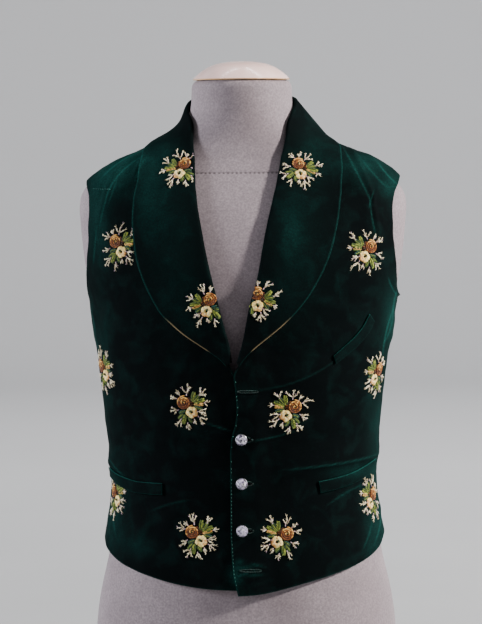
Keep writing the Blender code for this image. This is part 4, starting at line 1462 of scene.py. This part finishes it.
# One sprig, drawn round the middle of its span, with its rose up to the right of its cream flower.
ROSE = (5.5, 4.8)
ROSE_RADIUS = 8.0
ROSE_TURNS = 3.1
ROSE_STITCH = 3.4
ROSE_LINE = 3.6  # length of the umber line's stitches, and how far inside the spiral it runs
ROSE_LINE_INSET = 1.15
ROSE_CORE = 0.7  # where the spiral starts, how far short of the rim it stops, and how tightly it winds
ROSE_RIM = 1.1
ROSE_WINDING = 0.85
ROSE_LEAST = 1.2  # stitches nearer the middle than this turn no faster
ROSE_START = 40  # the bearing at which the spiral starts, and the sunny side
ROSE_SUNNY = 60
# How sunny a place has to be for gold and for copper, turn by turn.
ROSE_RINGS = ((0.3, -0.6), (1.15, 0.35), (0.35, -0.35), (0.2, -0.6))
PETALS = {"count": 9, "from": 128, "step": 13, "inside": 1.2, "outside": 4.2, "lean": 12}
CREAM = (-3.7, -6.3)
CREAM_RADIUS = 7.7
CREAM_STITCHES = 58
CREAM_LOBES = 5
CREAM_TURN = 12  # how far the lobes are turned
CREAM_NOTCH = 0.74  # the edge between two lobes, as a share of the radius
CREAM_WARM = 205  # the side that has the peach stitches
LEAVES = (
    # base, tip, width, thread of the body, thread of the far half
    ((-4.5, 5.5), (-7.0, 17.5), 5.6, "lime", "olive"),
    ((-5.5, 6.0), (-13.5, 14.0), 4.8, "olive", "moss"),
    ((-6.0, 4.5), (-19.0, 8.8), 5.2, "lime", "olive"),
    ((-6.0, 2.5), (-18.0, 3.2), 4.6, "olive", "gold"),
    ((-7.5, 0.5), (-16.5, -2.6), 4.6, "moss", "teal"),
    ((3.0, -4.5), (12.0, -7.4), 5.0, "teal", "moss"),
    ((3.6, -8.0), (7.2, -20.5), 5.6, "lime", "olive"),
    ((1.0, -11.5), (-3.6, -18.6), 4.8, "moss", "olive"),
    ((6.0, -8.0), (12.8, -14.2), 3.8, "olive", "moss"),
)
SPRAYS = table(
    "x y towards length spread",
    (2.6, 12.6, 96, 14.5, 34),
    (-12.2, 12.8, 128, 10.5, 36),
    (-18.4, 5.0, 184, 6.6, 42),
    (-9.5, -5.0, 192, 12.5, 26),
    (-11.0, -10.0, 226, 14.0, 30),
    (-6.6, -14.0, 254, 6.5, 26),
    (1.5, -18.2, 262, 9.5, 30),
    (8.8, -13.8, 306, 12.0, 32),
    (11.6, -3.6, 338, 11.0, 34),
    (12.8, 9.0, 14, 11.5, 34),
    (9.8, 12.4, 58, 7.5, 28),
)
TWIG_CRINKLE = 0.26
LEAF_STITCH = 1.25  # spacing of a leaf's stitches


def stitch(kind, path, thread, more=0.0):
    """A stitch of one kind: its path, each place's height, half its width and height, and its thread."""
    high, wide, tall = STITCHES[kind]
    lifts = (high + more) * np.sin(np.linspace(0, math.pi, len(path))) ** STITCH_ARCH
    lifts[0] = lifts[-1] = -STITCH_SINK
    return path, lifts, wide, tall, thread


def bowed(start, stop, bow, count):
    """Places from a start to a stop, bowed to one side."""
    start, stop = np.array(start, float), np.array(stop, float)
    share = np.linspace(0, 1, count)[:, None]
    aside = np.array([start[1] - stop[1], stop[0] - start[0]])
    return start + share * (stop - start) + bow * 4 * share * (1 - share) * aside


def polar(centre, radius, degrees):
    """A place at a distance and bearing from a centre."""
    bearing = math.radians(degrees)
    return np.array(centre) + radius * np.array([math.cos(bearing), math.sin(bearing)])


def spiral_radius(share):
    """How far out the rose's spiral lies after a share of its turns."""
    return ROSE_CORE + (ROSE_RADIUS - ROSE_RIM) * share**ROSE_WINDING


def draw_rose(chance):
    """The rose: a spiral of slanting stem stitches in rust, copper and gold, parted by an umber line."""
    found = []
    for step in range(PETALS["count"]):
        bearing = PETALS["from"] + PETALS["step"] * step
        reach_out = ROSE_RADIUS + PETALS["outside"] - 0.2 * (step - PETALS["count"] // 2) ** 2
        inner = polar(ROSE, ROSE_RADIUS - PETALS["inside"], bearing)
        tip = polar(ROSE, reach_out, bearing + PETALS["lean"])
        found.append(stitch("petal", bowed(inner, tip, 0.08, 5), "umber" if step % 3 else "rust"))
    whole = 360 * ROSE_TURNS
    degrees = 0.0
    while degrees < whole:
        share = degrees / whole
        radius = spiral_radius(share)
        span = math.degrees(ROSE_STITCH / max(radius, ROSE_LEAST))
        bearing = degrees + ROSE_START
        sunny = math.cos(math.radians(bearing - ROSE_SUNNY)) + 0.45 * chance.normal()
        light, middle = ROSE_RINGS[min(int(degrees // 360), 3)]
        thread = "gold" if sunny > light else "copper" if sunny > middle else "rust"
        slanted = [polar(ROSE, radius + 0.9 * (s - 0.5), bearing + span * s) for s in np.linspace(0, 1, 5)]
        found.append(stitch("spiral", np.array(slanted), thread, 0.5 * (1 - share)))
        degrees += 0.46 * span
    degrees = 150.0
    while degrees < whole:
        radius = spiral_radius(degrees / whole) - ROSE_LINE_INSET
        span = math.degrees(ROSE_LINE / max(radius, ROSE_LEAST))
        line = [polar(ROSE, radius, degrees + ROSE_START + span * s) for s in np.linspace(0, 1, 5)]
        found.append(stitch("spiral_line", np.array(line), "umber"))
        degrees += 0.95 * span
    for bearing in (20, 140, 260):
        found.append(stitch("knot", bowed(ROSE, polar(ROSE, 1.0, bearing), 0.2, 4), "moss"))
    return found


def draw_cream_flower(chance):
    """The cream flower: satin stitches from its eye to the edge of five round lobes, and knots at the eye."""
    found = []
    for k in range(CREAM_STITCHES):
        bearing = 360 * k / CREAM_STITCHES + chance.normal() * 1.2
        lobe = abs(math.cos(math.radians(bearing + CREAM_TURN) * CREAM_LOBES / 2))
        edge = CREAM_RADIUS * (CREAM_NOTCH + (1 - CREAM_NOTCH) * lobe**0.6) + 0.15 * chance.normal()
        warm = math.cos(math.radians(bearing - CREAM_WARM)) + 0.35 * chance.normal()
        path = bowed(polar(CREAM, 1.3, bearing), polar(CREAM, edge, bearing), 0.03, 5)
        found.append(stitch("satin", path, "peach" if warm > 0.72 else "cream"))
        if k % 3 == 0:
            path = bowed(polar(CREAM, 2.0, bearing + 2), polar(CREAM, edge * 0.66, bearing + 2), -0.03, 4)
            found.append(stitch("inner_satin", path, "ivory" if k % 2 else "cream"))
    for lobe in range(CREAM_LOBES):
        bearing = (180 + 360 * lobe) / CREAM_LOBES - CREAM_TURN
        path = bowed(polar(CREAM, 2.2, bearing), polar(CREAM, CREAM_RADIUS * 0.86, bearing + 4), 0.1, 4)
        found.append(stitch("lobe_line", path, "gold"))
    for bearing in (30, 110, 190, 270, 350):
        eye = polar(CREAM, 0.9, bearing) + (1.0, 1.0)
        thread = "moss" if bearing > 100 else "umber"
        found.append(stitch("knot", bowed(eye, eye + (1.1, 0.3), 0.2, 4), thread))
    return found


def draw_leaf(base, tip, width, thread, other, chance):
    """A leaf in fishbone stitch: slanting stitches from its midrib to each margin, and the midrib on top."""
    base, tip = np.array(base), np.array(tip)
    run = tip - base
    length = np.linalg.norm(run)
    aside = np.array([-run[1], run[0]]) / length
    count = max(5, int(length / LEAF_STITCH))
    found = []
    for side, floss in ((1, thread), (-1, other)):
        for k in range(count):
            share = (k + 0.3) / count
            margin = width / 2 * math.sin(math.pi * min(1, share * 0.8 + 0.16)) ** 0.8
            inner = base + run * share * 0.92
            outer = base + run * min(1, share + 0.2) + side * aside * margin
            used = chance.choice((floss, thread, other, "moss"), p=(0.5, 0.2, 0.15, 0.15))
            found.append(stitch("fishbone", bowed(inner, outer, 0.05 * side, 4), used))
    found.append(stitch("vein", bowed(base, tip, 0.04, 5), "gold" if other == "gold" else "lime"))
    return found


def draw_spray(spray, chance):
    """A spray of coral-like twigs: a lilac stem that forks into ivory twigs with spurs and hooked tips."""
    found = []
    base = np.array([spray["x"], spray["y"]])
    fork = polar(base, 0.2 * spray["length"], spray["towards"] + 5 * chance.normal())
    found.append(stitch("stem", bowed(base, fork, 0.08, 4), "lilac"))
    for number in (-1, 0, 1):
        bearing = spray["towards"] + number * spray["spread"] + 8 * chance.normal()
        length = (0.8 - 0.18 * abs(number)) * spray["length"] * (1 + 0.14 * chance.normal())
        hook = chance.choice((-1, 1))
        path = bowed(fork, polar(fork, length, bearing), 0.14 * hook, 6)
        path[1:] += TWIG_CRINKLE * chance.normal(size=path[1:].shape)
        if chance.random() < 0.6:
            path = np.concatenate([path, [polar(path[-1], 1.3, bearing + 70 * hook)]])
        found.append(stitch("twig", path, "ivory"))
        # A sand stitch along the lower half of each twig, set to one side: a painted shadow
        shade = path[: len(path) // 2 + 1] + polar((0, 0), 0.75, bearing - 90 * hook)
        found.append(stitch("painted_twig_shadow", shade, "sand"))
        for side, place in ((-hook, 2), (hook, 4)):
            if place == 4 and length < 6.5:
                continue
            reach_out, sway = 1.9 + 0.9 * chance.random(), 8 * chance.normal()
            spur = polar(path[place], reach_out, bearing + side * 36 + sway)
            thread = "lilac" if chance.random() < 0.3 else "ivory"
            found.append(stitch("spur", bowed(path[place], spur, 0.12 * side, 4), thread))
    return found


def draw_sprig(chance):
    """All the stitches of one sprig, flat, from the lowest to the highest."""
    found = []
    for spray in rows_of(SPRAYS):
        found += draw_spray(spray, chance)
    for leaf in LEAVES:
        found += draw_leaf(*leaf, chance)
    found += draw_rose(chance)
    found += draw_cream_flower(chance)
    return found


# Where the sprigs sit: the bearing and height of each one's middle, how far it leans, 1 if it is mirrored,
# and its size.
SPRIGS = {
    "front_left": (
        (59.6, 532.3, 2, 0, 1.0),
        (71.9, 387.9, 2, 0, 1.0),
        (27.4, 350.9, -5, 0, 1.0),
        (75.3, 241.6, -8, 0, 1.0),
        (23.4, 204.5, -12, 0, 1.0),
    ),
    "front_right": (
        (-57.0, 540.0, -5, 1, 1.0),
        (-73.1, 393.9, 5, 1, 1.0),
        (-27.5, 355.7, 0, 1, 1.0),
        (-74.2, 245.7, 5, 1, 1.0),
        (-25.0, 206.0, 6, 1, 1.0),
    ),
    "collar_left": (
        (43.1, 627.1, -33, 1, 0.96),
        (10.4, 479.3, -36, 1, 0.96),
        (140.0, 686.0, -60, 1, 0.82),
    ),
    "collar_right": (
        (-42.0, 628.6, 22, 0, 0.96),
        (-15.3, 473.3, 24, 0, 0.96),
        (-140.0, 686.0, 60, 0, 0.82),
    ),
}
SPRIG_FAR = 400.0  # a distance from the body's axis that lies outside everything


def make_sprigs(name, ground, places, chance):
    """The sprigs on one piece of velvet."""
    stitches = Stitches()
    for bearing, height, lean, mirrored, size in places:
        way = np.array([math.sin(math.radians(bearing)), -math.cos(math.radians(bearing)), 0])
        hit = ground.tree.ray_cast(Vector((0, 0, height)) + Vector(way) * SPRIG_FAR, -Vector(way))
        origin, normal = np.array(hit[0]), np.array(hit[1])
        level = unit(np.cross((0, 0, 1.0), normal))
        rise = np.cross(normal, level)
        turn = math.radians(lean)
        axes = (
            level * math.cos(turn) + rise * math.sin(turn),
            rise * math.cos(turn) - level * math.sin(turn),
            normal,
        )
        flip = -1 if mirrored else 1
        for path, lifts, wide, tall, thread in draw_sprig(chance):
            flat = np.asarray(path) * (flip * size, size)
            ground.lay(stitches, origin, axes, flat, lifts, wide, tall, THREAD_ORDER[thread])
    return stitches.piece(name, THREAD_FINISHES)


# Sewing that shows: the pricked front edge, the worked buttonholes and a row of stitches by the shoulder.
PRICK_STEP = 4.2
PRICK_INSET = 1.3
PRICK_LOW, PRICK_HIGH = 150.0, 392.0
PRICK_WHOLE = 275.0  # below this height no stitch is lost
PRICK_LOST = 0.45
# The buttonholes: how far across and how high each one's middle is, its length and its width.
HOLES_OPEN = tuple(
    (BUTTON_ACROSS + SLIT_OFFSET, height, SLIT_LENGTH, SLIT_WIDTH) for height in BUTTON_HEIGHTS
)
HOLES_CLOSED = ((10.5, 374.0, 20.0, 0.7), (11.5, 166.5, 21.0, 0.9))
HOLE_STITCH = 0.75
HOLE_MARGIN = 0.15  # how far from the slit its stitches start, and how long they are
HOLE_DEPTH = 1.5
BAR_STITCHES = 3
BAR_STEP = 0.55
SHOULDER_ROW = ((-172.0, 603.0), (-151.0, 602.0))
ROW_STEP = 2.2


def front_frame(across, height, side=1):
    """A point of a front's outer face, and the frame to lay stitches in."""
    turn = turn_at(np.array(float(across)), np.array(float(height)))
    point = on_cloth(turn, np.array(float(height)), side, VELVET)
    normal, _ = outward(point)
    level = unit(np.cross((0, 0, 1.0), normal))
    return point, (level, np.cross(normal, level), normal)


def work_hole(stitches, ground, across, height, length, width):
    """A worked buttonhole: close stitches over both lips and a bar at each end."""
    origin, axes = front_frame(across, height)
    count = int(length / HOLE_STITCH)
    for k in range(count + 1):
        x = length * (k / count - 0.5)
        lip = width / 2 * math.sqrt(max(0.0, 1 - (2 * x / length) ** 2)) + HOLE_MARGIN
        for side in (1, -1):
            flat = bowed((x, side * lip), (x + 0.2, side * (lip + HOLE_DEPTH)), 0, 4)
            ground.lay(stitches, origin, axes, *stitch("buttonhole", flat, 0))
    for end in (-1, 1):
        for k in range(BAR_STITCHES):
            x = end * (length / 2 + 0.5 + BAR_STEP * k)
            flat = bowed((x, -HOLE_DEPTH), (x, HOLE_DEPTH), 0, 4)
            ground.lay(stitches, origin, axes, *stitch("bar", flat, 0))


def make_sewing(name, ground, chance):
    """The sewing on the left front: the pricked edge, worn away in places higher up, and the buttonholes."""
    stitches = Stitches()
    for height in np.arange(PRICK_LOW, PRICK_HIGH, PRICK_STEP):
        if height > PRICK_WHOLE and chance.random() < PRICK_LOST:
            continue
        across = float(np.interp(height, LEFT_EDGE["height"], LEFT_EDGE["across"])) + PRICK_INSET
        origin, axes = front_frame(across, height)
        flat = bowed((0.1, -0.7), (-0.1, 0.7), 0, 4)
        ground.lay(stitches, origin, axes, *stitch("prick", flat, 1))
    for hole in HOLES_OPEN + HOLES_CLOSED:
        work_hole(stitches, ground, *hole)
    return stitches.piece(name, [TWIST_FINISH, PRICK_FINISH])


def make_shoulder_row(name, ground):
    """A short row of running stitches by the right shoulder."""
    stitches = Stitches()
    (from_across, from_height), (to_across, to_height) = SHOULDER_ROW
    count = int((to_across - from_across) / ROW_STEP)
    for share in np.linspace(0, 1, count + 1):
        across = from_across + share * (to_across - from_across)
        height = from_height + share * (to_height - from_height)
        origin, axes = front_frame(across, height, -1)
        ground.lay(stitches, origin, axes, *stitch("running", bowed((-0.7, 0), (0.7, 0.1), 0, 4), 0))
    return stitches.piece(name, [PRICK_FINISH])


# The studio: the floor turns up into a round wall, so that every view has the same pale ground.
FLOOR_INNER = 1500.0
FLOOR_FLAT = 4700.0
SWEEP_RADIUS = 2600.0
WALL_TOP = 3600.0
SWEEP_STEPS = 24
STUDIO_STEPS = 96


def make_studio():
    """The paper floor and its sweep."""
    profile = [(0.0, 0.0), (FLOOR_INNER, 0.0), (FLOOR_FLAT, 0.0)]
    for t in np.radians(np.linspace(0, 90, SWEEP_STEPS)[1:]):
        profile.append((FLOOR_FLAT + SWEEP_RADIUS * math.sin(t), SWEEP_RADIUS * (1 - math.cos(t))))
    profile.append((FLOOR_FLAT + SWEEP_RADIUS, WALL_TOP))
    mesh = turned_mesh("studio_floor", profile, STUDIO_STEPS, closed=False)
    mesh.materials.append(PAPER_FINISH)
    made = bpy.data.objects.new("studio_floor", mesh)
    bpy.context.scene.collection.objects.link(made)


# Soft boxes: where each stands and what it is aimed at, in metres, its size in metres, its power in watts and
# its colour.
LIGHTS = {
    "key": ((3.0, -0.8, 1.95), (0.0, -0.05, 0.5), 0.35, 330.0, "fffaf4"),
    "side_left": ((-2.85, -0.62, 1.2), (0.0, 0.0, 0.4), 0.9, 145.0, "f8faff"),
    "edge_right": ((1.9, 1.4, 1.1), (0.0, 0.0, 0.4), 1.1, 6.0, "ffffff"),
    "backdrop_1": ((0.7, 0.7, 3.2), (4.0, 4.0, 0.9), 1.6, 230.0, "ffffff"),
    "backdrop_2": ((-0.7, 0.7, 3.2), (-4.0, 4.0, 0.9), 1.6, 118.0, "ffffff"),
    "backdrop_3": ((0.7, -0.7, 3.2), (4.0, -4.0, 0.9), 1.6, 15.0, "ffffff"),
    "backdrop_4": ((-0.7, -0.7, 3.2), (-4.0, -4.0, 0.9), 1.6, 15.0, "ffffff"),
}
WORLD_COLOUR = "c9ccd0"
WORLD_STRENGTH = 0.035


def make_lights():
    """The soft boxes and the room's own light."""
    for name, (place, aim, size, power, colour) in LIGHTS.items():
        lamp = bpy.data.lights.new(name, "AREA")
        lamp.shape = "DISK"
        lamp.size = size
        lamp.energy = power
        lamp.color = linear(colour)[:3]
        made = bpy.data.objects.new(name, lamp)
        made.location = place
        made.rotation_mode = "QUATERNION"
        made.rotation_quaternion = (Vector(aim) - Vector(place)).to_track_quat("-Z", "Y")
        bpy.context.scene.collection.objects.link(made)
    world = bpy.data.worlds.new("studio")
    world.use_nodes = True
    ground = world.node_tree.nodes["Background"]
    ground.inputs["Color"].default_value = linear(WORLD_COLOUR)
    ground.inputs["Strength"].default_value = WORLD_STRENGTH
    bpy.context.scene.world = world


# The camera, from what the photograph shows: its distance and height in metres, the scale at the form, the
# row of the horizon, the column of the form's axis, and how far it stands aside and leans, in degrees.
FRAME_WIDTH, FRAME_HEIGHT = 482, 624
CAMERA_DISTANCE = 3.6
METRES_PER_PIXEL = 0.00118
CAMERA_HEIGHT = 0.661
HORIZON_ROW = 140
CAMERA_BEARING = 3.0
CAMERA_ROLL = -0.5
AXIS_COLUMN = 243.6
SENSOR = 36.0


def make_camera():
    """The camera at the photograph's angle."""
    pitch = math.atan((FRAME_HEIGHT / 2 - HORIZON_ROW) * METRES_PER_PIXEL / CAMERA_DISTANCE)
    bearing = math.radians(CAMERA_BEARING)
    data = bpy.data.cameras.new("camera")
    data.sensor_width = SENSOR
    data.lens = CAMERA_DISTANCE / METRES_PER_PIXEL * SENSOR / FRAME_HEIGHT
    data.shift_x = (FRAME_WIDTH / 2 - AXIS_COLUMN) / FRAME_HEIGHT
    made = bpy.data.objects.new("camera", data)
    made.location = (
        math.sin(bearing) * CAMERA_DISTANCE,
        -math.cos(bearing) * CAMERA_DISTANCE,
        CAMERA_HEIGHT,
    )
    looking = Vector(
        (-math.sin(bearing) * math.cos(pitch), math.cos(bearing) * math.cos(pitch), -math.sin(pitch))
    )
    made.rotation_mode = "QUATERNION"
    lean = Matrix.Rotation(math.radians(CAMERA_ROLL), 4, "Z").to_quaternion()
    made.rotation_quaternion = looking.to_track_quat("-Z", "Y") @ lean
    bpy.context.scene.collection.objects.link(made)
    bpy.context.scene.camera = made


make_camera()
make_studio()
make_lights()

form = make_form("form_jersey")
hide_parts("dress_form")
cap = make_cap("cap_lacquered")
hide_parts("neck_cap")

front_left = make_front("velvet_front_left", 1)
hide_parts("front_left")
front_right = make_front("velvet_front_right", -1)
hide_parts("front_right")
back = make_back("cotton_back")
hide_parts("back")
collar_left = make_collar("velvet_collar_left", 1)
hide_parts("collar_left")
collar_right = make_collar("velvet_collar_right", -1)
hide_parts("collar_right")
pocket_left = make_welt("velvet_welt_pocket_left", WELT_POCKET_LEFT)
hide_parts("welt_pocket_left")
pocket_right = make_welt("velvet_welt_pocket_right", WELT_POCKET_RIGHT)
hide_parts("welt_pocket_right")
breast = make_welt("velvet_welt_breast", WELT_BREAST)
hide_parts("welt_breast")

chance = np.random.default_rng(SEED)
for number, height in enumerate(BUTTON_HEIGHTS, 1):
    rim, glass = make_button(f"button_{number}", height, chance)
    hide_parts(f"button_{number}")

cloths = {
    "front_left": front_left,
    "front_right": front_right,
    "collar_left": collar_left,
    "collar_right": collar_right,
}
sewn_on = {}
for name, piece in cloths.items():
    ground = Ground(piece)
    sewn_on[name] = [make_sprigs(f"sprigs_{name}", ground, SPRIGS[name], chance)]
    if name == "front_left":
        sewn_on[name].append(make_sewing("sewing_front_left", ground, chance))
    if name == "front_right":
        sewn_on[name].append(make_shoulder_row("sewing_front_right", ground))
